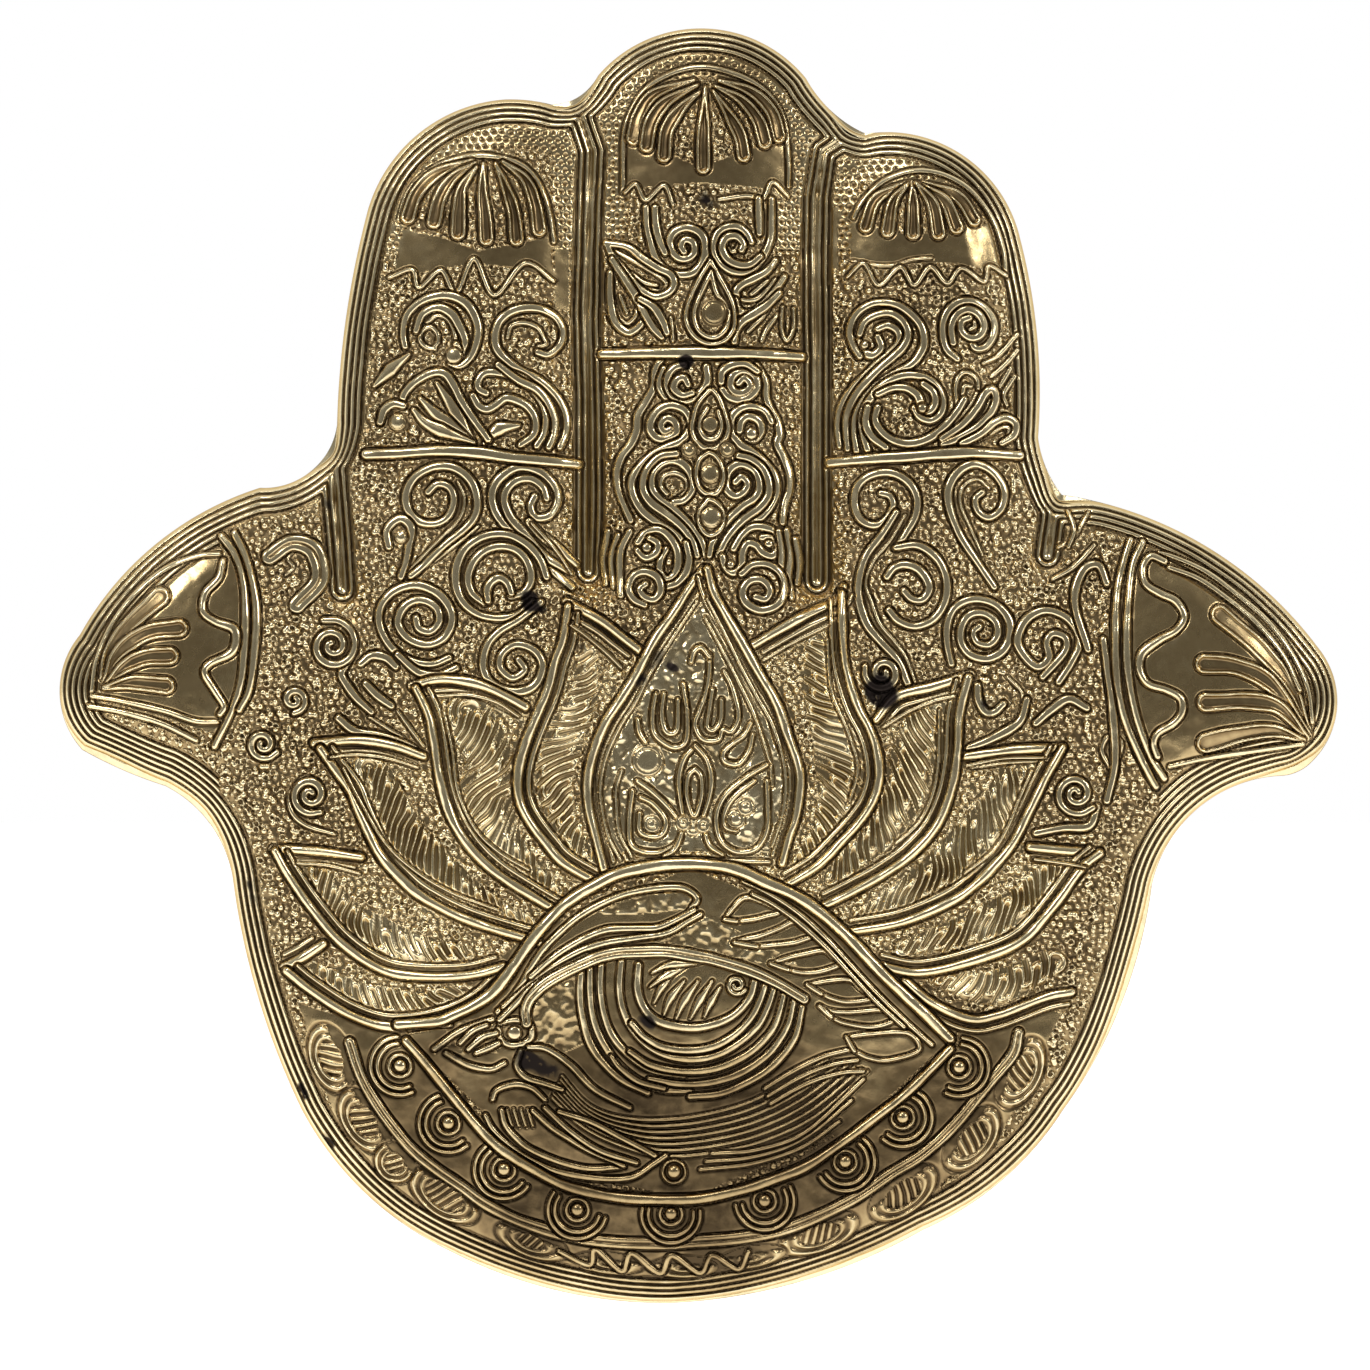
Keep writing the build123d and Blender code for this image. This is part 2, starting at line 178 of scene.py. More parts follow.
valleys = [  # x and y of lines where two pads meet and their cords run together
    (578, 112, 592, 154, 589, 230, 587, 319, 589, 400, 589.6, 482, 588.7, 572),
    (845, 140, 823, 154, 816, 200, 815, 253, 816, 350, 816, 482, 816, 582),
    (334, 452, 337, 500, 341, 545, 344, 590),
    (1053, 492, 1051, 520, 1046, 556),
]

form = dict(
    thumbLeft=222, thumbRight=1156, thumbCords=2,  # pixels across, further strips on the thumbs
    wall=9.0, rimRise=6.5, rimWidth=41.0,  # mm, mm, pixels
    padFoot=14.2, padFrom=14.0, padRun=44.0, meld=0.55,  # mm, pixels, pixels, mm
    fingers=[  # tip's x and y, foot's y, half width in mm, rise in mm
        (479.8, 220.1, 615.0, 20.5, 5.4), (702.0, 158.9, 615.0, 20.5, 5.4), (917.9, 239.2, 615.0, 20.5, 5.4),
    ],
    caps=[  # middle, half width in mm, rise in mm
        (690.6, 818.9, 105.0, 6.8), (207.8, 659.6, 29.0, 5.2), (1183.5, 674.9, 29.0, 5.2),
    ],
    slope=0.12,  # mm per pixel where the wall leans out
    valleyStart=12.8,  # pixels in from the edge at which a valley's middle lies
    flares=[  # where the wall leans out and shows: x, y, reach, pixels
        (110, 776, 55, 8), (195, 815, 40, 5), (575, 108, 20, 7), (846, 140, 20, 7),
        (1056, 505, 26, 8), (330, 452, 18, 6), (1135, 960, 90, 6), (1300, 775, 30, 8),
        (860, 1262, 160, 5), (520, 1290, 120, 4),
    ],
    cordPitch=6.2, cordFirst=3.5, cordCount=4, cordRise=0.24,  # pixels, count, mm
    cordGroove=0.5, cordSoft=1.15,  # mm deep, pixels of reach
    lastFall=0.32, lastOff=1.8, lastReach=1.7,  # the groove after the last strip: mm, pixels
    keepOff=4.0,  # pixels past the last strip that the ground keeps clear
    wobble=0.75,  # pixels
    swells=[  # soft rises and hollows: x, y, reach, mm
        (690, 985, 62, 0.8), (560, 1045, 30, -0.6), (690, 1118, 60, -0.5), (455, 1040, 30, 0.4),
        (700, 760, 60, 0.3), (640, 1235, 200, -0.3), (575, 1130, 40, 0.3), (880, 1085, 50, -0.5),
    ],
)


def formHeight(depth):
    # the wall's lean, then a quarter of an ellipse up to the rim's width
    lean = form["wall"] + np.minimum(depth, 0) * form["slope"]
    share = np.clip(depth / form["rimWidth"], 0, 1)
    return lean + form["rimRise"] * np.sqrt(1 - (1 - share) ** 2)


def padHeight(xs, ys):
    # round arches along the fingers and round caps on palm and thumbs, melted together
    # over the rim's top by the sum of their exponentials
    top = form["wall"] + form["rimRise"]
    total = np.full((len(ys), len(xs)), np.exp(top / form["meld"] - 30))
    pads = [(x, y, foot, half, rise) for x, y, foot, half, rise in form["fingers"]]
    pads += [(x, y, y, half, rise) for x, y, half, rise in form["caps"]]
    for x, y, foot, half, rise in pads:
        radius = (half ** 2 + rise ** 2) / (2 * rise)
        past = np.maximum(0, np.maximum(y - ys, ys - foot))
        away = ((xs[None, :] - x) ** 2 + past[:, None] ** 2) * mmPerPx ** 2
        pad = form["padFoot"] + rise - radius + np.sqrt(np.maximum(radius ** 2 - away, 0))
        total += np.exp(np.maximum(pad, 0) / form["meld"] - 30)
    return form["meld"] * (np.log(total) + 30) - top


def cordHeight(depth, count=form["cordCount"]):
    # strips side by side: a low parabola across each, and a narrow bell-shaped groove between
    place = (depth - form["cordFirst"]) / form["cordPitch"]
    nearest = np.clip(np.round(place), 0, count - 1)
    off = 2 * np.clip(place - nearest, -0.5, 0.5)
    edgeOff = (1 - np.abs(off)) * form["cordPitch"] / 2
    return form["cordRise"] * (1 - off ** 2) - form["cordGroove"] * np.exp(-(edgeOff / form["cordSoft"]) ** 2)


def bumps(spots, xs, ys):  # bell-shaped rises, added together
    total = np.zeros((len(ys), len(xs)), np.float32)
    for x, y, reach, amount in spots:
        bellX = np.exp(-((xs - x) / reach) ** 2)
        bellY = np.exp(-((ys - y) / reach) ** 2)
        total += amount * bellY[:, None] * bellX[None, :]
    return total


edgeCoarse = distanceTo(edge, coarseX, coarseY, closed=True)
edgeCoarse = np.where(insideOf(edge, coarseX, coarseY), edgeCoarse, -edgeCoarse)
leanCoarse = bumps(form["flares"], coarseX, coarseY)
valleyCoarse = np.full(edgeCoarse.shape, 1e3, np.float32)
for line in valleys:
    points = np.array(line, float).reshape(-1, 2)
    valleyCoarse = np.minimum(valleyCoarse, distanceTo(points, coarseX, coarseY))
edgeDepth = toFine(edgeCoarse)
depth = toFine(np.minimum(edgeCoarse - leanCoarse, valleyCoarse + form["valleyStart"]))
depth += form["wobble"] * (0.55 * noiseField(46, 11) + 0.45 * noiseField(19, 12)) * np.clip(edgeDepth / 14, 0, 1)
rising = np.clip((depth - form["padFrom"]) / form["padRun"], 0, 1)
base = formHeight(depth) + padHeight(colPx, rowPx) * rising ** 2 * (3 - 2 * rising)
base += bumps(form["swells"], colPx, rowPx)
base = base.astype(np.float32)
onThumb = (colPx < form["thumbLeft"]) | (colPx > form["thumbRight"])
cordCount = form["cordCount"] + form["thumbCords"] * onThumb[None, :]
cordEnd = form["cordFirst"] + form["cordPitch"] * (cordCount - 0.5)
relief = np.where(depth < cordEnd + 0.1 * form["cordPitch"], cordHeight(depth, cordCount), 0)
relief = relief.astype(np.float32)
relief -= form["lastFall"] * np.exp(-((depth - cordEnd - form["lastOff"]) / form["lastReach"]) ** 2)
cover = depth < cordEnd + form["keepOff"]  # where cords or strokes lie
print("form:", colCount, "by", rowCount, "nodes")


stroke = {  # width in pixels, strands across, rise and groove in mm, shares of the width at start, middle, end
    "strand": dict(width=10.0, strands=1, rise=0.75, groove=0.55, plateau=0.6),
    "pair": dict(width=18.0, strands=2, rise=0.7, groove=0.5, plateau=0.4),
    "band": dict(width=9.0, strands=1, rise=0.72, groove=0.5, plateau=0.5, shares=(0.8, 1.0, 0.8)),
    "wire": dict(width=5.0, strands=1, rise=0.5, groove=0.4),
    "hair": dict(width=3.8, strands=1, rise=0.42, groove=0.35),
    "fine": dict(width=3.6, strands=1, rise=0.4),
    "arch": dict(width=6.0, strands=1, rise=0.5, groove=0.4),
    "bar": dict(width=12.0, strands=1, rise=1.0, groove=0.55, plateau=0.5),
    "leaf": dict(width=14.0, strands=1, rise=0.7, shares=(0.3, 1.0, 0.35), groove=0.45),
    "lobe": dict(width=15.5, hollow=True, rise=0.65, shares=(0.35, 0.9, 1.0), groove=0.4),
    "rib": dict(width=10.5, strands=1, rise=1.05, groove=0.55),
    "lid": dict(width=13.0, strands=1, rise=1.2, groove=0.6),
}


def smoothPath(flat, spacing=2.0):
    # a Catmull-Rom curve through the points, sampled about every spacing pixels
    p = np.array(flat, float).reshape(-1, 2)
    padded = np.concatenate([[2 * p[0] - p[1]], p, [2 * p[-1] - p[-2]]])
    lengths = np.hypot(*(p[1:] - p[:-1]).T)
    counts = np.maximum(2, np.ceil(lengths / spacing)).astype(int)
    which = np.repeat(np.arange(len(counts)), counts)
    firsts = np.concatenate([[0], np.cumsum(counts)[:-1]])
    t = ((np.arange(counts.sum()) - firsts[which]) / counts[which])[:, None]
    a, b, c, d = (padded[which + k] for k in range(4))
    curve = 0.5 * (2 * b + (c - a) * t + (2 * a - 5 * b + 4 * c - d) * t ** 2 + (3 * b - a - 3 * c + d) * t ** 3)
    return np.concatenate([curve, p[-1:]])


def windowOf(points, reach):  # rows and columns of the map within reach of the points
    low = points.min(0) - reach
    high = points.max(0) + reach
    c0 = max(0, int((low[0] - raster["left"]) / raster["step"]))
    c1 = min(colCount, int((high[0] - raster["left"]) / raster["step"]) + 2)
    r0 = max(0, int((low[1] - raster["top"]) / raster["step"]))
    r1 = min(rowCount, int((high[1] - raster["top"]) / raster["step"]) + 2)
    return slice(r0, r1), slice(c0, c1)


def measure(path, reach):
    # distance to the path, share of its length and side of it, near the path
    rows, cols = windowOf(path, reach)
    shape = (rows.stop - rows.start, cols.stop - cols.start)
    dist = np.full(shape, 1e6, np.float32)
    along = np.zeros(shape, np.float32)
    side = np.ones(shape, np.float32)
    steps = np.hypot(*(path[1:] - path[:-1]).T)
    total = steps.sum()
    begun = np.concatenate([[0], np.cumsum(steps)])
    for k in range(0, len(path) - 1, 10):
        part = path[k:k + 11]
        rr, cc = windowOf(part, reach)
        inner = (slice(rr.start - rows.start, rr.stop - rows.start),
                 slice(cc.start - cols.start, cc.stop - cols.start))
        a, run = part[:-1], part[1:] - part[:-1]
        length = (run ** 2).sum(1) + 1e-9
        rx = (colPx[cc][None, :, None] - a[:, 0])
        ry = (rowPx[rr][:, None, None] - a[:, 1])
        t = np.clip((rx * run[:, 0] + ry * run[:, 1]) / length, 0, 1)
        ex = rx - t * run[:, 0]
        ey = ry - t * run[:, 1]
        near = ex ** 2 + ey ** 2
        pick = near.argmin(-1)[..., None]
        least = np.sqrt(np.take_along_axis(near, pick, -1)[..., 0])
        tt = np.take_along_axis(t, pick, -1)[..., 0]
        pick = pick[..., 0]
        where = (begun[k + pick] + tt * steps[k + pick]) / total
        cross = run[pick, 0] * np.take_along_axis(ry + 0 * rx, pick[..., None], -1)[..., 0]
        cross -= run[pick, 1] * np.take_along_axis(rx + 0 * ry, pick[..., None], -1)[..., 0]
        better = least < dist[inner]
        dist[inner] = np.where(better, least, dist[inner])
        along[inner] = np.where(better, where, along[inner])
        side[inner] = np.where(better, np.sign(cross), side[inner])
    return (rows, cols), dist, along, side, total


sink = dict(reach=1.35, end=4.0, cover=2.6, margin=5.0)  # pixels about a stroke's edge


def layBody(win, inside, body, gap, groove):
    # the stroke takes the place of what is under it, and its edges sink into a groove
    old = relief[win]
    fade = np.exp(-(np.maximum(gap, 0) / sink["reach"]) ** 2)
    sunk = old * (1 - fade) - groove * fade
    relief[win] = np.where(inside, body, np.where(gap < sink["end"], sunk, old))
    cover[win] |= gap < sink["cover"]


uneven = dict(width=0.10, rise=0.22)  # shares by which a stroke's width and rise wander
edged = dict(inset=2.3, reach=1.9, floor=0.12)  # a hollow stroke's two edges: pixels, mm


def lay(kind, flat, **change):
    # a chased stroke: round strands side by side, or two edges with a hollow between
    look = dict(stroke[kind], **change)
    width, rise = look["width"], look["rise"]
    groove = look.get("groove", 0.3)
    shares = look.get("shares", (0.85, 1.0, 0.85))
    win, dist, along = measure(smoothPath(flat), width / 2 + sink["margin"])[:3]
    half = width / 2 * np.interp(along, (0, 0.5, 1), shares) * (1 + uneven["width"] * warpB[win])
    q = dist / half
    if look.get("hollow"):
        wall = np.exp(-((half - edged["inset"] - dist) / edged["reach"]) ** 2)
        body = rise * wall - edged["floor"] * (1 - wall)
    else:
        count = look["strands"]
        k = q * count
        v = ((k + count % 2) % 2) - 1
        top = np.clip(1 - np.abs(v) ** (2 + 3 * look.get("plateau", 0.0)), 0, 1) ** 0.7
        body = rise * (top if count == 1 else 0.15 + 0.85 * top)
    body = body * (1 + uneven["rise"] * warpA[win])
    layBody(win, q < 1, body, dist - half, groove)


def layAll(kind, paths, **change):
    for flat in paths:
        lay(kind, flat, **change)


domed = dict(margin=6.0, share=0.6, inset=1.8, reach=1.7, floor=0.15, groove=0.3)  # pixels, share, mm


def dome(x, y, radius, rise, ring=0.0):
    # a round stud, and with a ring a raised circle about it
    reach = radius + ring + domed["margin"]
    win = windowOf(np.array([[x, y]], float), reach)
    far = np.hypot(colPx[win[1]][None, :] - x, rowPx[win[0]][:, None] - y)
    stud = rise * np.sqrt(np.clip(1 - (far / radius) ** 2, 0, 1))
    outer = radius + ring
    if ring:
        circle = domed["share"] * rise * np.exp(-((far - outer + domed["inset"]) / domed["reach"]) ** 2)
        stud = np.where(far < radius, stud, circle - domed["floor"])
    layBody(win, far < outer, stud, far - outer, domed["groove"])


def spiral(x, y, outer, turns=2.0, begin=0.0, hand=1, inner=3.0):
    # points of a spiral from its rim in to its middle
    t = np.linspace(0, 1, int(10 * turns) + 2)
    radius = outer + (inner - outer) * t ** 0.85
    angle = math.radians(begin) + hand * 2 * math.pi * turns * t
    return np.stack([x + radius * np.cos(angle), y + radius * np.sin(angle)], 1).ravel()


def evenly(path, count=24):
    # points evenly far apart along the path
    gone = np.concatenate([[0], np.cumsum(np.hypot(*(path[1:] - path[:-1]).T))])
    stops = np.linspace(0, 1, count) * gone[-1]
    return np.stack([np.interp(stops, gone, path[:, 0]), np.interp(stops, gone, path[:, 1])], 1)


def between(first, last, count):
    # paths that pass evenly from one to another
    a, b = (evenly(smoothPath(flat, 3.0)) for flat in (first, last))
    return [(a * (1 - k) + b * k).ravel() for k in np.linspace(0, 1, count)]


def meander(flat, half, lean, seed, pitch=9.0, wire=2.2, rise=0.62):
    # a wire that runs to and fro on a slant across a strip; its turns lie at uneven
    # distances from the strip's edges, and its height swells and sinks
    path = smoothPath(flat)
    win, dist, along, side, total = measure(path, max(half) + 3)
    rng = np.random.default_rng(seed)
    reachHere = np.interp(along, (0, 0.5, 1), half)
    off = side * dist + 2.5 * warpB[win]
    s = along * total + lean * off + 3.4 * warpA[win] + 1.5 * np.sin(off / 7.0 + seed)
    turns = rng.uniform(0.35, 1.0, 400)
    lower = np.floor(s / pitch).astype(int)
    sign = np.where(lower % 2 == 0, 1.0, -1.0)
    end = sign * (reachHere * turns[lower % 400] - pitch / 2)
    straight = np.abs(s - np.round(s / pitch) * pitch)
    bend = np.abs(np.hypot(s - (lower + 0.5) * pitch, off - end) - pitch / 2)
    beyond = off * sign > np.abs(end)
    far = np.where(beyond, bend, straight)
    swell = 0.75 + 0.25 * warpA[win] + 0.2 * warpB[win]
    body = rise * swell * (1.35 * np.exp(-(far / wire) ** 2) - 0.18)
    inside = np.abs(side * dist) < reachHere
    relief[win] = np.where(inside, body, relief[win])
    cover[win] |= inside


warpA = noiseField(14, 21)
warpB = noiseField(17, 22)

leftFinger = {
    "arch": [
        (401, 223, 409, 197, 426, 178, 448, 166, 474, 160, 496, 161, 519, 167, 535, 180, 546, 200, 552, 223,
         555, 245),
    ],
    "lobe": [
        (474, 165, 439, 177, 419, 196, 410, 220), (504, 166, 526, 183, 536, 207, 540, 233),
        (477, 168, 456, 181, 442, 202, 436, 226), (497, 168, 506, 189, 515, 216, 518, 243),
        (478, 172, 464, 192, 461, 213, 460, 237), (485, 168, 484, 196, 487, 224, 488, 243),
    ],
    "wire": [
        (391, 280, 414, 273, 421, 291, 443, 274, 458, 297, 476, 263, 496, 299, 526, 267, 555, 284),
        (429, 326, 439, 319, 450, 322, 456, 334, 458, 346), (437, 352, 428, 350, 422, 343, 424, 334, 432, 330,
         439, 336, 440, 345, 436, 350),
        (509, 341, 513, 329, 526, 326, 539, 331, 545, 341, 547, 347, 539, 350),
        (384, 421, 395, 410, 409, 414),
    ],
    "band": [
        (407, 349, 405, 336, 408, 320, 418, 308, 432, 301, 448, 299, 462, 303, 473, 313, 480, 330, 478, 347,
         472, 361, 462, 369, 453, 366),
        (418, 334, 424, 318, 439, 311, 453, 317, 461, 329, 467, 344, 463, 356),
        (458, 348, 460, 354, 458, 362),
        (539, 355, 550, 357, 561, 347, 564, 334, 558, 321, 545, 313, 529, 311, 513, 315, 501, 325, 497, 339,
         499, 352, 509, 364, 523, 374,
         539, 382, 552, 392, 563, 406, 568, 422, 566, 438, 561, 449),
        (488, 396, 481, 392, 480, 384, 487, 376, 502, 376, 518, 379, 531, 388, 542, 403, 547, 419, 545, 435,
         538, 448),
        (500, 368, 520, 383, 538, 392, 550, 406, 556, 422, 555, 437, 550, 449),
        (475, 399, 481, 409, 489, 412, 497, 408, 507, 401, 518, 403, 529, 409, 536, 419, 537, 430, 533, 439,
         522, 447),
        (403, 406, 407, 395, 418, 384, 434, 376, 447, 377, 456, 389, 463, 403, 474, 420, 485, 435, 490, 442),
        (382, 424, 386, 412, 395, 406, 405, 408),
        (413, 577, 427, 565, 447, 546, 466, 531, 477, 517, 479, 500, 472, 482, 456, 470, 436, 469, 417, 479,
         408, 496, 411, 513, 423, 524,
         439, 525, 451, 517, 456, 501, 451, 489, 439, 486, 430, 494),
        (403, 578, 408, 563, 411, 546, 413, 529, 402, 520, 389, 531, 391, 548),
        (573, 588, 552, 570, 530, 550, 511, 532, 497, 513, 494, 494, 503, 479, 521, 469, 542, 474, 556, 488,
         559, 503, 551, 517, 537, 519,
         532, 508, 536, 498),
        (571, 573, 544, 556, 525, 534, 511, 517, 506, 498, 516, 484, 532, 481, 544, 489, 548, 500),
        (578, 566, 558, 548, 542, 536, 530, 523),
    ],
    "hair": [
        (411, 572, 427, 555, 442, 540, 457, 526, 465, 512, 466, 498, 460, 484),
        (421, 574, 442, 558, 462, 543, 480, 528),
    ],
    "leaf": [
        (476, 445, 455, 410, 439, 386), (476, 445, 440, 418, 422, 401), (476, 445, 432, 428, 415, 412),
        (376, 388, 392, 372, 411, 357), (486, 446, 500, 432, 520, 428),
    ],
    "bar": [(368, 456, 400, 455, 441, 453, 480, 455, 515, 460, 550, 463, 579, 466)],
}
middleFinger = {
    "arch": [
        (623, 196, 624, 142, 633, 112, 648, 91, 675, 76, 703, 71, 732, 77, 757, 89, 774, 106, 784, 127, 788,
         163, 788, 190),
    ],
    "lobe": [
        (694, 85, 655, 98, 640, 118, 634, 142), (719, 85, 751, 96, 771, 116, 778, 140),
        (697, 90, 667, 106, 652, 126, 647, 150), (715, 91, 740, 104, 757, 124, 764, 146),
        (701, 96, 682, 112, 667, 135, 664, 160), (713, 96, 728, 119, 739, 140, 743, 160),
        (705, 92, 704, 120, 703, 150, 703, 172),
    ],
    "wire": [
        (625, 196, 636, 188, 646, 204, 664, 190, 673, 209), (719, 204, 746, 200, 763, 202, 772, 186, 788, 200),
        (727, 252, 731, 256, 737, 253, 739, 247),
        (612, 252, 640, 268, 658, 279, 667, 288, 661, 295, 648, 291, 634, 282, 618, 266),
        (631, 277, 644, 286, 657, 289),
        (613, 300, 616, 312, 621, 323, 628, 326, 635, 320, 638, 311), (620, 298, 627, 316), (647, 310, 659, 331),
        (751, 298, 767, 284), (736, 302, 746, 304, 757, 302, 766, 294, 775, 282), (747, 335, 758, 324, 768, 312),
        (761, 344, 767, 331, 778, 317), (782, 310, 781, 331, 786, 343, 793, 331, 793, 311), (671, 321, 673, 344),
        (697, 462, 692, 456, 686, 458, 684, 465), (720, 462, 727, 456, 733, 460),
        (667, 496, 661, 488, 664, 478, 675, 475, 686, 481, 687, 492, 680, 499),
    ],
    "band": [
        (646, 212, 647, 230, 650, 244, 654, 258, 660, 269, 670, 276, 681, 279, 692, 277, 701, 269, 705, 257,
         704, 244, 698, 236, 687, 232,
         676, 235, 670, 243, 671, 254, 678, 262, 687, 263, 694, 257, 693, 247, 685, 244, 681, 250, 684, 256),
        (655, 212, 656, 230, 660, 246, 665, 257),
        (771, 203, 771, 224, 770, 244, 761, 262, 748, 274, 734, 275, 722, 268, 715, 257, 714, 246, 718, 237,
         726, 232, 737, 231, 746, 237, 751, 246),
        (758, 203, 759, 237), (760, 260, 750, 268, 739, 269, 728, 264, 722, 254, 723, 246, 728, 241, 737, 241,
         743, 248, 741, 254),
        (606, 246, 627, 250, 643, 262, 658, 272, 670, 278, 674, 286, 670, 295, 659, 300, 648, 298, 635, 288,
         622, 272, 612, 258, 607, 247),
        (610, 276, 610, 297, 613, 318, 619, 329, 628, 335, 636, 332, 642, 326),
        (612, 262, 626, 284, 638, 303, 646, 319, 654, 332, 662, 340),
        (640, 302, 654, 311, 663, 325, 667, 336), (736, 300, 736, 294, 742, 288, 754, 282, 766, 275, 775, 264),
        (735, 304, 738, 314, 749, 317, 761, 310, 774, 295, 784, 280),
        (734, 345, 736, 333, 743, 324, 754, 317, 767, 308, 779, 296),
        (661, 362, 655, 374, 654, 389, 646, 404, 638, 418, 637, 432, 631, 446, 622, 458, 617, 473, 618, 490,
         624, 507, 631, 522),
        (668, 403, 660, 388, 664, 372), (756, 368, 765, 384, 766, 400, 770, 411, 777, 424, 779, 437, 777, 446,
         784, 461, 789, 476, 789, 492, 784, 507, 782, 524),
        (706, 370, 707, 384, 700, 396, 687, 403, 675, 400, 668, 390, 668, 379, 674, 371, 684, 368),
        (692, 396, 682, 398, 674, 391, 677, 383, 684, 381, 688, 388),
        (722, 392, 729, 400, 741, 403, 751, 398, 757, 389, 754, 378, 743, 373, 733, 378, 730, 388, 735, 395,
         744, 395, 750, 388, 744, 381, 738, 386),
        (721, 385, 722, 375, 732, 368, 745, 367, 757, 374),
        (693, 432, 690, 421, 683, 412, 670, 408, 658, 413, 651, 424, 651, 433, 657, 440, 667, 441, 676, 435,
         675, 425, 667, 421, 661, 427, 664, 434, 670, 432),
        (690, 432, 681, 443, 667, 449, 651, 458, 639, 470, 632, 483, 634, 498, 643, 513, 658, 525, 673, 534,
         685, 546, 690, 558),
        (771, 424, 764, 413, 751, 409, 739, 412, 731, 421, 731, 433, 739, 446, 753, 455, 765, 466, 774, 478,
         776, 492, 770, 507, 758, 521,
         742, 530, 730, 541, 721, 555),
        (739, 433, 741, 424, 748, 419, 758, 423, 761, 432, 755, 441, 747, 440),
        (706, 557, 701, 542, 689, 526, 674, 511, 660, 502, 652, 490, 652, 476, 660, 466, 672, 462, 684, 467,
         692, 479, 692, 492, 684, 502, 674, 504),
        (697, 557, 693, 544, 683, 530, 667, 516, 652, 505, 644, 493, 644, 479, 650, 467, 661, 458, 676, 456),
        (709, 557, 713, 542, 727, 522, 742, 508, 755, 499, 759, 487, 755, 473, 742, 466, 731, 470, 725, 481,
         727, 492, 735, 498, 744, 493, 747, 485,
         741, 479, 735, 484),
        (718, 557, 727, 539, 742, 522, 758, 510, 767, 498, 768, 484, 762, 470, 750, 461, 738, 458),
        (638, 544, 646, 534, 658, 531, 669, 538, 677, 551, 678, 565, 674, 577, 666, 581, 660, 573, 661, 560,
         666, 551),
        (686, 545, 689, 559, 686, 573, 677, 584, 666, 588), (638, 552, 646, 559, 656, 554, 658, 545, 650, 540),
        (722, 558, 725, 568, 733, 574, 741, 568, 742, 554, 747, 545, 756, 547, 762, 554, 772, 557, 778, 547,
         775, 535, 764, 529, 751, 529, 741, 537, 733, 550),
        (761, 539, 769, 540, 770, 547), (608, 533, 604, 559, 606, 584), (618, 537, 612, 559, 614, 587),
        (630, 533, 621, 551, 620, 574, 621, 596),
        (778, 533, 781, 551, 781, 574, 787, 590), (786, 532, 790, 556, 788, 578, 791, 598),
        (795, 541, 799, 563, 797, 584),
        (645, 606, 634, 600, 629, 589, 634, 577, 645, 573, 657, 578, 661, 590, 655, 600, 645, 598, 640, 590,
         646, 585),
        (741, 575, 752, 566, 768, 566, 781, 576, 784, 592, 776, 606, 760, 611, 746, 604, 742, 592, 749, 582,
         761, 581, 769, 590, 765, 600, 755, 598),
    ],
    "rimmed": [
        (710, 265, 700, 281, 692, 297, 687, 311, 686, 324, 692, 337, 702, 345, 713, 347, 725, 343, 733, 332,
         734, 317, 732, 306, 726, 293, 718, 279, 711, 266),
        (711, 276, 703, 292, 696, 308, 694, 320, 698, 333, 707, 340, 717, 340, 726, 331, 728, 318, 724, 308,
         716, 296, 711, 277),
        (709, 393, 698, 406, 693, 421, 692, 434, 698, 446, 710, 452, 722, 446, 728, 432, 725, 418, 719, 401,
         713, 393),
        (707, 411, 701, 421, 700, 432, 706, 441, 716, 440, 721, 428, 718, 414),
        (708, 455, 699, 462, 696, 476, 699, 489, 707, 496, 717, 494, 723, 481, 721, 467, 715, 458, 709, 455),
        (708, 501, 700, 512, 699, 524, 704, 534, 712, 537, 721, 530, 723, 516, 717, 505, 709, 501),
    ],
    "bar": [(602, 356, 640, 356, 700, 356, 760, 357, 801, 359)],
}
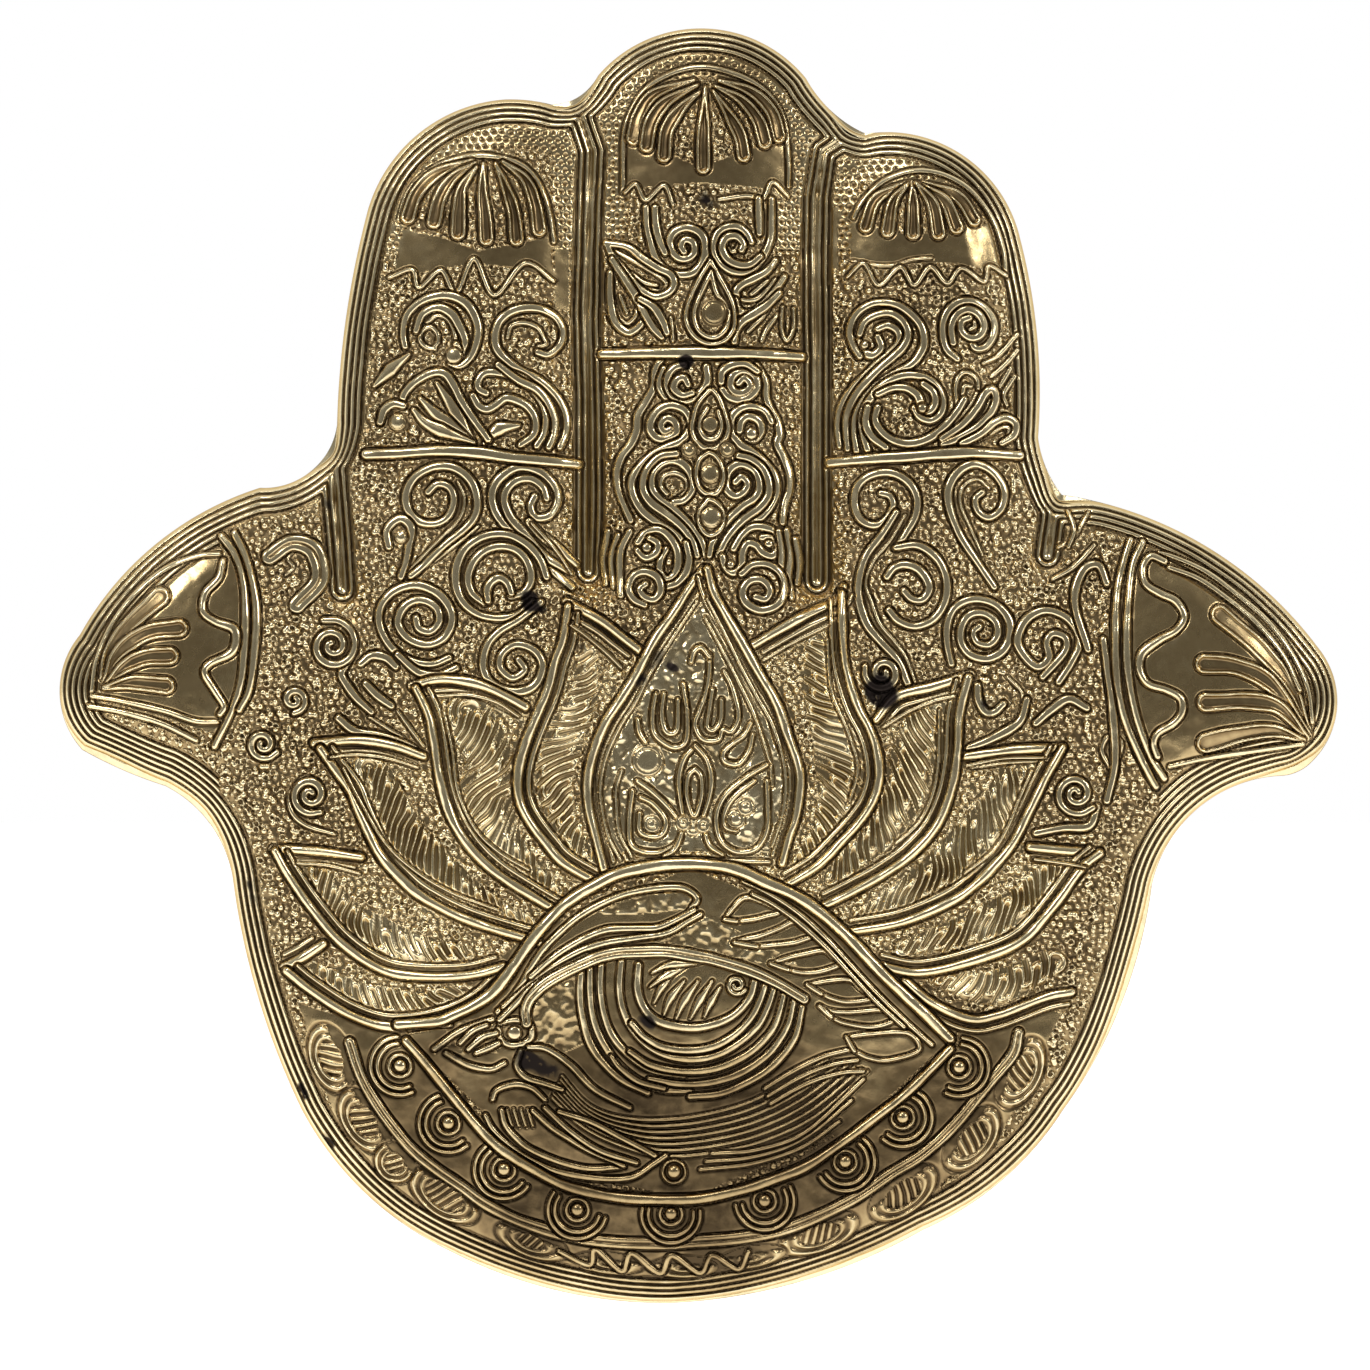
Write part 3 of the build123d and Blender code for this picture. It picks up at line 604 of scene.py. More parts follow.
rightFinger = {
    "arch": [
        (852, 221, 861, 205, 879, 187, 900, 177, 921, 174, 943, 178, 964, 189, 980, 205, 993, 226, 1002, 253,
         1004, 276),
    ],
    "lobe": [
        (905, 187, 875, 203, 864, 230), (920, 187, 955, 200, 972, 223), (908, 187, 892, 205, 886, 235),
        (917, 188, 942, 205, 954, 231), (911, 186, 911, 210, 911, 237), (914, 187, 930, 208, 936, 237),
    ],
    "fine": [(850, 264, 875, 269, 893, 269, 909, 264, 929, 262)],
    "wire": [
        (846, 280, 862, 267, 877, 289, 898, 271, 912, 289, 928, 271, 945, 287, 959, 272, 982, 285, 987, 269,
         1005, 278),
        (960, 326, 968, 321, 973, 329, 967, 333), (955, 407, 953, 392, 956, 380, 964, 375, 974, 381, 976, 391),
        (960, 400, 962, 389, 969, 389), (988, 436, 1000, 429, 1008, 430, 1006, 437),
        (981, 366, 996, 358, 1016, 336), (989, 379, 1003, 367, 1016, 352), (997, 390, 1009, 370),
        (1005, 407, 1002, 396, 1013, 378),
    ],
    "band": [
        (856, 342, 862, 355, 872, 358, 879, 350, 876, 340),
        (858, 359, 851, 347, 848, 335, 852, 321, 862, 311, 876, 306, 893, 308, 908, 317, 919, 330, 922, 345,
         918, 357, 910, 367, 896, 375,
         880, 385, 867, 397, 857, 410, 852, 424, 852, 438, 855, 454),
        (876, 332, 886, 329, 896, 335, 897, 346, 889, 356, 876, 367, 865, 378, 853, 389, 843, 402, 838, 415,
         836, 430, 838, 448),
        (858, 337, 863, 325, 875, 318, 889, 317, 901, 325, 906, 337, 901, 350, 890, 361, 878, 371, 866, 383,
         855, 396, 847, 411, 844, 427, 846, 451),
        (955, 362, 945, 353, 941, 340, 941, 326, 946, 314, 957, 306, 971, 306, 984, 313, 992, 325, 991, 339,
         983, 350, 973, 351, 968, 342),
        (951, 346, 949, 330, 955, 318, 966, 313, 977, 318, 982, 329, 977, 339, 968, 341, 960, 335, 959, 325,
         967, 321),
        (866, 453, 861, 434, 861, 418, 868, 402, 882, 387, 899, 379, 918, 379, 932, 387, 940, 401, 939, 415,
         929, 423, 918, 420, 912, 411),
        (876, 397, 890, 391, 904, 391, 915, 398, 920, 409, 927, 414, 933, 406, 931, 395, 921, 387),
        (876, 410, 873, 421, 879, 433, 890, 442, 907, 446, 924, 442, 940, 431, 954, 415, 962, 402),
        (866, 410, 864, 425, 870, 439, 884, 450),
        (940, 441, 960, 427, 974, 411, 983, 396, 991, 392, 994, 402, 988, 416, 974, 430, 957, 440, 941, 447),
        (960, 446, 979, 436, 993, 424, 1005, 420, 1014, 426, 1012, 437, 1000, 445),
    ],
    "hair": [
        (930, 442, 952, 426, 968, 408, 976, 392), (948, 444, 968, 431, 982, 416, 988, 402),
        (975, 443, 990, 436, 1000, 434),
    ],
    "bar": [(828, 464, 870, 461, 907, 459, 961, 455, 1018, 457)],
}
upperPalm = {
    "pair": [(300, 606, 322, 580, 316, 552, 294, 544, 272, 558)],
    "fine": [(296, 552, 290, 560, 296, 568, 288, 576), (355, 800, 340, 770, 326, 752)],
    "hair": [
        (573, 575, 556, 550, 533, 525), (371, 716, 390, 728, 406, 738), (400, 711, 414, 730, 426, 746),
        (903, 517, 889, 541, 872, 562, 864, 584, 870, 603, 878, 624, 892, 641, 904, 658, 913, 682),
        (1005, 677, 1020, 695, 1014, 718, 996, 732, 977, 744),
        (980, 556, 968, 529, 958, 505, 961, 488, 975, 481, 987, 490),
    ],
    "band": [
        (548, 578, 541, 560, 527, 545, 508, 536, 486, 538, 468, 549, 459, 566, 458, 585, 465, 603, 480, 615,
         500, 619, 520, 615, 534, 603),
        (486, 604, 474, 594, 470, 578, 476, 562, 489, 551, 505, 548, 520, 553, 530, 566, 532, 582, 524, 594,
         512, 597),
        (490, 602, 489, 591, 493, 583, 501, 579, 509, 584, 513, 594),
        (451, 658, 436, 664, 420, 663, 403, 656, 390, 643, 382, 626, 382, 610, 390, 597, 402, 589, 417, 586,
         432, 590, 444, 598, 453, 612, 453, 626,
         445, 639, 432, 645, 418, 643, 406, 635, 400, 622, 406, 608, 418, 601, 431, 603, 440, 611, 441, 623,
         432, 632, 421, 629, 418, 619),
        (542, 603, 521, 620, 501, 632, 489, 646, 485, 667, 494, 684, 515, 692, 535, 686, 544, 667, 536, 651,
         518, 645, 504, 654, 502, 668, 514, 678, 526, 670, 520, 660),
        (350, 662, 344, 674, 350, 686, 360, 699, 374, 712), (341, 718, 358, 731, 383, 736, 400, 741, 416, 748),
        (368, 684, 380, 696, 394, 706), (363, 664, 374, 656, 388, 658, 398, 667),
        (400, 655, 420, 672, 440, 676, 458, 668),
        (894, 550, 903, 536, 913, 518, 915, 500, 906, 484, 889, 475, 870, 477, 856, 488, 853, 506, 859, 521,
         872, 527, 884, 521, 891, 508, 888, 498, 879, 495),
        (894, 514, 880, 536, 865, 556, 858, 577, 857, 598, 865, 624, 879, 642, 896, 661, 906, 684),
        (894, 549, 916, 547, 935, 560, 944, 580, 943, 601, 932, 619, 914, 627, 897, 622, 887, 611),
        (885, 578, 892, 569, 904, 566, 918, 572, 927, 587, 921, 600, 910, 600, 902, 592),
        (949, 664, 945, 645, 945, 625, 952, 609, 966, 601, 982, 601, 997, 608, 1007, 622, 1007, 638, 999, 652,
         984, 659, 968, 655, 959, 643,
         959, 628, 967, 616, 981, 614, 993, 622, 995, 635, 987, 645, 975, 643, 971, 633, 977, 627),
        (992, 588, 975, 563, 958, 537, 948, 512, 946, 491, 956, 474, 973, 466, 991, 474, 1002, 491, 999, 510,
         987, 519, 976, 513, 973, 501, 980, 494),
        (1056, 682, 1069, 662, 1077, 640, 1066, 620, 1044, 611, 1024, 620, 1015, 640, 1022, 656, 1035, 667,
         1046, 658, 1044, 642, 1051, 634, 1063, 639, 1061, 653, 1040, 677),
        (975, 686, 976, 700, 983, 712, 992, 712, 1001, 704), (1033, 723, 1048, 710, 1066, 699, 1084, 708),
        (1094, 806, 1086, 825, 1060, 827, 1033, 832), (966, 748, 990, 738, 1016, 722, 1024, 700),
        (1085, 650, 1072, 603, 1080, 572, 1096, 566, 1104, 584), (1100, 640, 1108, 700, 1112, 760, 1104, 800),
    ],
    "wire": [
        (337, 833, 310, 825, 295, 812, 293, 794, 307, 777, 320, 785, 320, 800, 312, 806),
        (1109, 770, 1099, 750, 1106, 736, 1118, 742, 1116, 756),
        (1092, 546, 1072, 567, 1050, 580), (1086, 514, 1070, 540, 1056, 548), (1066, 512, 1072, 530, 1066, 548),
    ],
    "swirls": [  # x, y, radius, turns, start in degrees, side
        (313, 794, 20, 1.7, 60, 1), (881, 673, 19, 1.6, 200, -1), (1073, 793, 22, 1.8, 40, 1),
        (335, 646, 27, 2.0, 250, 1),
        (297, 700, 13, 1.4, 90, -1), (266, 744, 16, 1.5, 30, 1), (462, 702, 11, 1.3, 0, 1),
    ],
}
leftThumb = {
    "rib": [
        (224, 537, 237, 554, 246, 579, 249, 614, 248, 651, 244, 684, 234, 714, 218, 746),
        (237, 534, 249, 559, 257, 589, 260, 619, 258, 651, 253, 689, 243, 710),
        (226, 562, 222, 579, 209, 594, 207, 612, 219, 622, 237, 629, 240, 641, 234, 654, 214, 664, 209, 674,
         219, 691, 228, 706, 224, 714),
    ],
    "arch": [
        (95, 692, 100, 659, 115, 624, 137, 595, 167, 570, 199, 557, 222, 555),
        (95, 696, 125, 701, 169, 711, 199, 721, 221, 722),
        (92, 706, 125, 712, 165, 723, 200, 740),
    ],
    "lobe": [
        (106, 678, 112, 654, 132, 626, 163, 598), (108, 684, 122, 654, 150, 634, 183, 629),
        (110, 685, 128, 668, 150, 658, 174, 656),
        (108, 688, 137, 683, 170, 686),
    ],
}
rightThumb = {
    "rib": [
        (1128, 541, 1121, 562, 1114, 594, 1112, 635, 1113, 674, 1119, 711, 1130, 741, 1146, 774, 1153, 786),
        (1140, 543, 1130, 566, 1125, 602, 1123, 643, 1125, 676, 1130, 705, 1138, 733, 1150, 760, 1161, 778),
        (1162, 562, 1148, 557, 1140, 568, 1142, 584, 1156, 594, 1172, 602, 1180, 617, 1172, 631, 1154, 641,
         1138, 654, 1136, 670, 1144, 684,
         1162, 690, 1176, 698, 1178, 711, 1170, 723, 1154, 733, 1150, 744, 1154, 756),
    ],
    "arch": [
        (1156, 554, 1172, 558, 1203, 572, 1233, 594, 1264, 621, 1288, 653, 1304, 688, 1309, 722),
        (1166, 568, 1195, 579, 1223, 598, 1253, 623, 1280, 656, 1296, 690),
        (1166, 766, 1203, 758, 1243, 752, 1300, 744),
    ],
    "lobe": [
        (1306, 733, 1288, 688, 1256, 649, 1216, 615), (1306, 736, 1268, 686, 1235, 668, 1200, 664),
        (1304, 738, 1274, 707, 1240, 701, 1202, 702), (1300, 740, 1270, 731, 1236, 734, 1202, 743),
    ],
}
lotus = {
    "apart": 11.0,  # pixels from a petal's edge to its second line
    "fills": [  # middle line, half widths at its start, middle and end, slant
        ((592, 640, 583, 700, 563, 745, 556, 785, 570, 830, 590, 860), (8, 22, 9), -0.7),
        ((470, 712, 490, 760, 487, 800, 505, 845, 555, 890), (22, 28, 9), -0.9),
        ((372, 768, 400, 820, 430, 862, 480, 900, 530, 922), (18, 24, 8), -1.0),
        ((318, 868, 350, 915, 400, 942, 470, 952), (12, 21, 8), -0.8),
        ((316, 968, 365, 992, 420, 1000, 470, 984), (8, 14, 6), -0.5),
        ((815, 640, 822, 700, 836, 745, 838, 785, 825, 830, 795, 870), (12, 26, 9), 0.7),
        ((925, 708, 910, 760, 897, 796, 872, 836, 830, 876), (20, 24, 9), 0.9),
        ((1015, 772, 990, 815, 960, 850, 925, 880, 860, 915), (18, 24, 9), 1.0),
        ((1056, 864, 1015, 905, 970, 928, 900, 946), (12, 22, 8), 0.8),
        ((1052, 960, 990, 985, 930, 975), (14, 18, 8), 0.5),
    ],
    "petals": [  # side of the second line, then the edge
        (1, (317, 743, 358, 740, 391, 744, 426, 756)), (1, (276, 848, 320, 850, 364, 856)),
        (1, (414, 686, 436, 680, 457, 680, 482, 685, 507, 696, 527, 707)),
        (1, (567, 602, 601, 621, 622, 637, 640, 651)),
        (-1, (287, 965, 306, 955, 326, 942)),
        (-1, (289, 969, 316, 990, 354, 1013, 393, 1024, 440, 1018, 479, 1001, 513, 970)),
        (-1, (278, 850, 292, 875, 316, 909, 345, 942, 383, 967, 421, 974, 469, 973, 505, 964)),
        (-1, (323, 748, 338, 769, 353, 789, 361, 809, 371, 831, 383, 854, 403, 877, 426, 896, 470, 918, 540, 940)),
        (-1, (418, 688, 431, 715, 436, 740, 441, 773, 448, 801, 459, 827, 476, 851, 499, 872, 530, 892, 560, 910)),
        (-1, (569, 607, 564, 639, 556, 662, 548, 692, 535, 722, 523, 755, 519, 781, 522, 802, 532, 822, 549,
          844, 566, 862, 604, 884)),
        (-1, (842, 588, 834, 601, 800, 618, 752, 646)), (-1, (968, 675, 930, 687, 894, 697, 874, 720)),
        (-1, (1060, 747, 1010, 750, 962, 756)), (-1, (1097, 852, 1060, 849, 1027, 846)),
        (1, (903, 978, 928, 999, 966, 1016, 995, 1013, 1043, 995, 1069, 990)),
        (1, (1097, 852, 1078, 868, 1052, 903, 1020, 938, 976, 957, 918, 970, 872, 962)),
        (1, (1060, 747, 1042, 779, 1026, 811, 1010, 842, 992, 864, 977, 879, 950, 899, 900, 920, 845, 930)),
        (1, (966, 678, 957, 714, 955, 751, 951, 779, 944, 803, 931, 829, 909, 853, 881, 873, 850, 890, 822, 904)),
        (1, (840, 594, 842, 651, 848, 682, 857, 708, 868, 729, 875, 751, 877, 777, 870, 801, 857, 821, 838,
          842, 816, 864, 784, 884)),
        (-1, (704, 570, 691, 586, 671, 617, 654, 641, 638, 672, 622, 698, 607, 721, 595, 749, 589, 776, 589,
          800, 595, 829, 605, 868)),
        (1, (707, 570, 713, 592, 724, 613, 744, 647, 760, 676, 777, 706, 787, 735, 797, 764, 799, 784, 795,
          815, 787, 839, 781, 862)),
    ],
    "inner": [  # single lines beside the petals' edges
        (697, 602, 671, 641, 649, 676, 636, 702, 620, 727, 607, 755, 601, 784, 603, 809, 609, 835, 621, 858),
        (622, 770, 617, 786, 617, 804, 620, 831, 632, 855),
        (707, 600, 724, 633, 740, 666, 756, 696, 771, 723, 781, 753, 785, 784, 781, 815, 771, 845),
        (705, 619, 720, 647, 736, 678, 752, 711, 762, 739, 769, 762, 771, 785),
        (333, 757, 358, 754, 391, 758, 420, 767), (440, 696, 470, 695, 498, 702, 520, 716),
        (881, 727, 905, 712, 931, 701, 952, 696),
        (964, 765, 1000, 758, 1040, 757), (1029, 770, 1016, 799, 1005, 826, 990, 850, 962, 872),
        (572, 626, 584, 634, 606, 652, 622, 668),
        (937, 710, 936, 760, 930, 794, 916, 822, 894, 842), (762, 661, 790, 644, 826, 626),
        (826, 640, 830, 690, 846, 730, 856, 766, 848, 800),
        (300, 862, 330, 864, 362, 872), (1032, 858, 1062, 862, 1082, 866),
        (446, 712, 454, 748, 460, 790, 476, 826, 500, 850, 530, 868),
        (346, 768, 366, 806, 388, 842, 416, 868, 452, 890, 500, 908),
    ],
    "wire": [
        (656, 694, 653, 713, 654, 731, 662, 741, 675, 747, 686, 740, 687, 713, 683, 684),
        (664, 694, 662, 715, 667, 732, 677, 729, 678, 700),
        (709, 655, 709, 672, 706, 692, 699, 711, 695, 725, 703, 739, 718, 739, 722, 729, 731, 731, 738, 715,
         732, 688, 724, 672),
        (712, 690, 709, 710, 707, 726, 713, 730, 720, 720, 721, 700), (691, 662, 694, 652, 701, 648, 709, 657),
        (638, 719, 640, 732, 646, 742), (750, 723, 743, 735, 732, 743, 723, 752, 725, 761, 738, 763, 748, 750,
         752, 734),
        (695, 745, 684, 758, 679, 776, 680, 796, 683, 816), (695, 745, 706, 758, 711, 776, 709, 796, 703, 815),
        (695, 768, 688, 776, 687, 796, 694, 815, 701, 796, 701, 776, 695, 768),
        (638, 780, 654, 792, 671, 809, 681, 825, 678, 841, 662, 850, 643, 850, 631, 841, 630, 815, 633, 790),
        (641, 796, 654, 803, 666, 819, 662, 833, 650, 835, 640, 829, 640, 812),
        (766, 764, 746, 776, 725, 794, 716, 815, 720, 838, 735, 850, 755, 847, 766, 829, 767, 804, 766, 780),
        (753, 780, 735, 794, 725, 809, 725, 825, 735, 829), (703, 823, 709, 843, 722, 853),
        (684, 823, 676, 846, 664, 855),
        (636, 860, 700, 859, 768, 860),
    ],
    "rings": [
        (648, 760, 11), (652, 823, 4), (735, 818, 5), (693, 826, 4), (683, 822, 3), (703, 824, 3),
        (745, 806, 4),
    ],
}
eye = {
    "lids": [
        (400, 1022, 424, 1020, 442, 1018, 454, 1013, 478, 1001, 496, 988, 511, 969, 530, 942, 545, 923, 566, 902,
         591, 886, 616, 873, 649, 865, 680, 862, 709, 863, 737, 868, 766, 881, 795, 894, 823, 913, 852, 940,
         871, 961, 890, 980, 919, 1007, 948, 1036),
    ],
    "bands": [  # flat strands, two to four side by side
        (499, 1009, 513, 995, 524, 980, 532, 965, 545, 946, 563, 928, 580, 914, 601, 902, 626, 892, 658, 886,
         683, 886, 697, 896, 690, 908),
        (505, 1004, 524, 988, 543, 972, 563, 958, 584, 947, 607, 940, 639, 935, 668, 930, 687, 919, 700, 912),
        (532, 974, 553, 956, 572, 943, 591, 933, 610, 927, 639, 926, 658, 925, 677, 917, 694, 908),
        (501, 1017, 514, 1004, 530, 988, 548, 975, 566, 964, 588, 953),
    ],
    "inner": [
        (528, 1020, 527, 1007, 532, 995, 545, 982, 563, 971, 584, 961, 601, 954, 620, 950, 641, 949, 668, 949,
         700, 954,
         714, 957, 747, 967, 776, 980, 803, 996),
    ],
    "second": [
        (742, 879, 762, 888, 795, 909, 823, 934, 848, 961, 871, 986, 900, 1015, 930, 1042),
        (752, 892, 772, 902, 800, 922, 826, 946, 850, 972, 876, 1000, 902, 1024),
    ],
    "cells": [  # closed leaves of plain sheet inside the upper lid
        (724, 917, 733, 905, 743, 896, 756, 897, 778, 909, 765, 914, 753, 917, 736, 919),
        (734, 940, 747, 936, 760, 933, 778, 926, 793, 919, 802, 925, 812, 932, 800, 938, 787, 941, 756, 944),
        (770, 961, 787, 955, 804, 951, 822, 948, 831, 954, 839, 961, 822, 968, 804, 970, 787, 967),
        (806, 982, 826, 978, 848, 977, 859, 986, 871, 995, 848, 999, 832, 996, 820, 991),
        (818, 1003, 831, 1008, 850, 1009, 886, 1007, 892, 1017, 871, 1024, 843, 1020, 830, 1014),
        (845, 1034, 868, 1031, 906, 1030, 917, 1047, 888, 1057, 868, 1055, 853, 1048),
    ],
    "iris": [  # strands down the left, round below and up the right
        (582, 968, 581, 990, 583, 1012, 590, 1038, 603, 1058, 622, 1076, 648, 1089),
        (591, 962, 591, 990, 594, 1015, 604, 1040, 620, 1062, 640, 1078, 664, 1086, 690, 1087),
        (602, 960, 601, 985, 605, 1012, 614, 1034, 630, 1052, 652, 1066, 684, 1072),
        (622, 956, 620, 985, 624, 1008, 633, 1026, 648, 1042, 668, 1052, 692, 1056, 716, 1052, 738, 1040, 756,
         1024, 766, 1006, 773, 986),
        (632, 1020, 645, 1034, 664, 1044, 690, 1047, 714, 1043, 736, 1030, 752, 1012, 762, 990, 765, 978),
        (630, 1048, 652, 1062, 684, 1068, 712, 1066, 738, 1056, 758, 1042, 774, 1022, 783, 991),
        (650, 1076, 684, 1081, 716, 1078, 743, 1068, 768, 1050, 786, 1024, 793, 997),
        (690, 1093, 720, 1090, 748, 1078, 772, 1062, 793, 1036, 801, 1004),
    ],
    "pupil": [(639, 962, 638, 984, 643, 1002, 654, 1015, 672, 1022, 700, 1024, 730, 1014, 748, 996, 754, 978)],
    "fan": [
        (664, 1012, 670, 996, 684, 978), (676, 1016, 684, 998, 698, 978), (690, 1016, 698, 1000, 712, 978),
        (704, 1014, 710, 1000, 720, 984), (654, 1000, 662, 984, 676, 966), (650, 984, 664, 974, 690, 960),
        (652, 970, 670, 962, 700, 960),
    ],
    "sweeps": [  # first and last strand of a sheaf, strands, kind
        ((563, 1073, 584, 1097, 607, 1110, 639, 1116, 668, 1116, 700, 1112, 745, 1100, 790, 1078, 826, 1056),
         (553, 1094, 582, 1122, 617, 1140, 660, 1152, 705, 1150, 760, 1138, 815, 1112, 866, 1068), 7, "hair"),
        ((700, 1166, 750, 1160, 800, 1144, 838, 1118), (712, 1150, 757, 1146, 805, 1128, 862, 1076), 3, "wire"),
        ((764, 1085, 795, 1066, 823, 1053, 850, 1046), (770, 1100, 806, 1080, 838, 1070, 862, 1068), 3, "wire"),
    ],
    "corner": [
        (411, 1026, 432, 1022, 452, 1022), (436, 1046, 462, 1028, 494, 1016),
        (494, 1096, 497, 1088, 507, 1083, 520, 1081, 534, 1085, 546, 1096),
        (503, 1107, 507, 1122, 519, 1136, 534, 1147, 563, 1159, 591, 1165, 622, 1163),
        (534, 1107, 553, 1124, 572, 1136, 591, 1147, 612, 1156, 624, 1162),
        (546, 1104, 572, 1128, 601, 1147, 637, 1159), (560, 1108, 591, 1118, 620, 1133, 650, 1149, 660, 1156),
        (487, 1112, 496, 1128, 519, 1149, 553, 1166, 591, 1174, 630, 1174, 654, 1160, 666, 1152),
        (501, 1020, 516, 1017, 530, 1020, 533, 1032, 526, 1040, 512, 1042, 502, 1036, 500, 1026),
        (522, 1048, 518, 1062, 527, 1074, 545, 1080, 563, 1086),
        (530, 1044, 548, 1046, 572, 1062, 596, 1086, 630, 1104),
        (612, 1053, 620, 1064, 639, 1078, 664, 1085), (448, 1050, 470, 1062, 492, 1066, 506, 1060),
        (470, 1046, 484, 1034, 498, 1030), (462, 1040, 474, 1028, 488, 1022), (478, 1050, 492, 1044, 500, 1040),
    ],
}
foot = {
    "ridge": [
        (408, 1038, 425, 1057, 442, 1078, 461, 1101, 480, 1124, 499, 1143, 519, 1157, 538, 1168, 563, 1181,
         591, 1189, 620, 1194, 658, 1196, 700, 1195, 743, 1186, 775, 1175, 806, 1162, 838, 1141, 869, 1118,
         901, 1093, 925, 1070, 948, 1046),
    ],
    "divider": [
        (352, 1040, 364, 1075, 382, 1106, 400, 1130, 415, 1147, 438, 1166, 463, 1183, 486, 1200, 515, 1215,
         543, 1225, 572, 1233, 603, 1238, 649, 1240, 697, 1238, 743, 1234, 785, 1225, 827, 1208, 859, 1191,
         890, 1170, 922, 1150, 954, 1120, 985, 1082, 1010, 1052, 1016, 1030),
    ],
    "studs": [
        (402, 1063), (450, 1120), (505, 1166), (578, 1206), (671, 1210), (764, 1197), (844, 1158), (901, 1114),
        (957, 1064),
    ],
    "shells": [  # x, y, lean in degrees, half length, half width
        (333, 1056, 70, 36, 22), (366, 1118, 57, 36, 22), (446, 1192, 35, 40, 23), (396, 1160, 46, 22, 20),
        (532, 1238, 22, 38, 17), (818, 1230, -20, 42, 20), (752, 1254, -10, 34, 12), (902, 1190, -37, 40, 22),
        (970, 1136, -52, 38, 22), (1018, 1070, -64, 38, 22), (608, 1260, 6, 34, 12), (684, 1264, 0, 34, 12),
    ],
    "zigzags": [
        (560, 1248, 590, 1262, 596, 1246, 622, 1268, 632, 1250, 660, 1270, 672, 1252, 700, 1270, 712, 1252,
         738, 1266, 748, 1248),
    ],
}


def layRegion(region, order):
    for kind in order:
        layAll(kind, region.get(kind, ()))


def layShell(x, y, lean, long, short):
    # a half shell: ribs, as a sine's size to a power, under two bell-shaped arcs, open
    # on the side towards the eye
    win = windowOf(np.array([[x, y]], float), long + 8)
    dx = colPx[win[1]][None, :] - x
    dy = rowPx[win[0]][:, None] - y
    turn = math.radians(lean)
    u = dx * math.cos(turn) + dy * math.sin(turn)
    v = -dx * math.sin(turn) + dy * math.cos(turn)
    far = np.hypot(u / long, v / short)
    gap = (far - 1) * short
    u = u + 2.5 * warpA[win]
    ribs = 0.55 * np.abs(np.sin(np.pi * (u + 0.5 * v) / 8.0)) ** 1.6 + 0.3 * warpB[win] - 0.35
    border = 0.75 * np.exp(-((gap + 3.0) / 1.9) ** 2) + 0.6 * np.exp(-((gap + 8.2) / 1.7) ** 2) - 0.2
    outer = np.clip((v + 0.35 * short) / 4, 0, 1)
    body = np.where(gap > -10.5, border * outer - 0.2 * (1 - outer), ribs)
    layBody(win, far < 1, body, gap, 0.35)


eyeMiddle = (690, 985)  # pixels


def awayArc(x, y, radius, reach=100.0):
    # points on a circle, on the side away from the eye's middle, reach degrees to either side
    away = math.degrees(math.atan2(y - eyeMiddle[1], x - eyeMiddle[0]))
    angle = np.radians(away + np.linspace(-reach, reach, 14))
    return np.stack([x + radius * np.cos(angle), y + radius * np.sin(angle)], 1).ravel()


# fingers
for region in (leftFinger, middleFinger, rightFinger):
    layRegion(region, ("arch", "lobe", "fine", "hair", "leaf", "wire", "band", "bar"))
layAll("wire", middleFinger["rimmed"], width=5.6, rise=0.65)
fingerStuds = [  # x, y, radius, rise, ring
    (399, 424, 7, 0.6, 2), (456, 359, 8, 0.55, 0), (403, 538, 5, 0.5, 2), (714, 316, 10, 0.35, 3),
    (710, 427, 8, 0.35, 0),
    (710, 476, 8, 0.4, 2), (711, 519, 9, 0.45, 2), (689, 452, 5, 0.4, 3), (727, 452, 5, 0.4, 3),
    (751, 436, 6, 0.6, 0),
    (863, 348, 4, 0.5, 0), (920, 411, 5, 0.5, 0), (768, 545, 4, 0.5, 0), (647, 549, 5, 0.5, 0), (730, 566, 4, 0.5, 0),
]
for stud in fingerStuds:
    dome(*stud)
print("fingers: laid")

# palm, thumbs
layRegion(upperPalm, ("fine", "hair", "wire", "pair", "band"))
for swirl in upperPalm["swirls"]:
    lay("band", spiral(*swirl), width=8)
for region in (leftThumb, rightThumb):
    layAll("lobe", region["lobe"], width=20)
    layAll("arch", region["arch"])
    layAll("rib", region["rib"], width=8.5, rise=0.65)

# lotus
for k, (flat, half, lean) in enumerate(lotus["fills"]):
    meander(flat, half, lean, 30 + k)
for side, flat in lotus["petals"]:
    lay("rib", flat)
    path = smoothPath(flat, 6.0)
    ahead = np.gradient(path, axis=0)
    ahead /= np.hypot(*ahead.T)[:, None] + 1e-9
    second = path - side * lotus["apart"] * np.stack([ahead[:, 1], -ahead[:, 0]], 1)
    lay("wire", second[1:-1].ravel(), width=5.2)
layAll("hair", lotus["inner"])
layAll("wire", lotus["wire"], width=5.6, rise=0.6)
for x, y, r in lotus["rings"]:
    dome(x, y, r, 0.3, 4)
print("palm: laid")

# eye
layAll("leaf", eye["fan"], width=8.5, rise=0.55)
layAll("band", eye["iris"], width=8.0)
layAll("band", eye["pupil"], width=9.0, rise=0.7)
lay("strand", spiral(736, 982, 10, 1.4, 30), width=5)
dome(516, 1030, 7, 0.7)
for x in (508, 515, 522, 529):
    lay("hair", (x, 1106, x + 5, 1122))
for first, last, count, kind in eye["sweeps"]:
    for k, flat in enumerate(between(first, last, count)):
        lay(kind, flat, rise=0.42 + 0.14 * (k % 2))
layAll("band", eye["corner"], width=6.5, rise=0.7)
for flat in eye["cells"]:
    lay("wire", flat, rise=0.5)
    lay("wire", flat[-2:] + flat[:2])
layAll("band", eye["second"], width=5.0)
layAll("band", eye["bands"], width=7.0)
layAll("pair", eye["inner"], width=12)
layAll("lid", eye["lids"], plateau=0.3)
print("eye: laid")

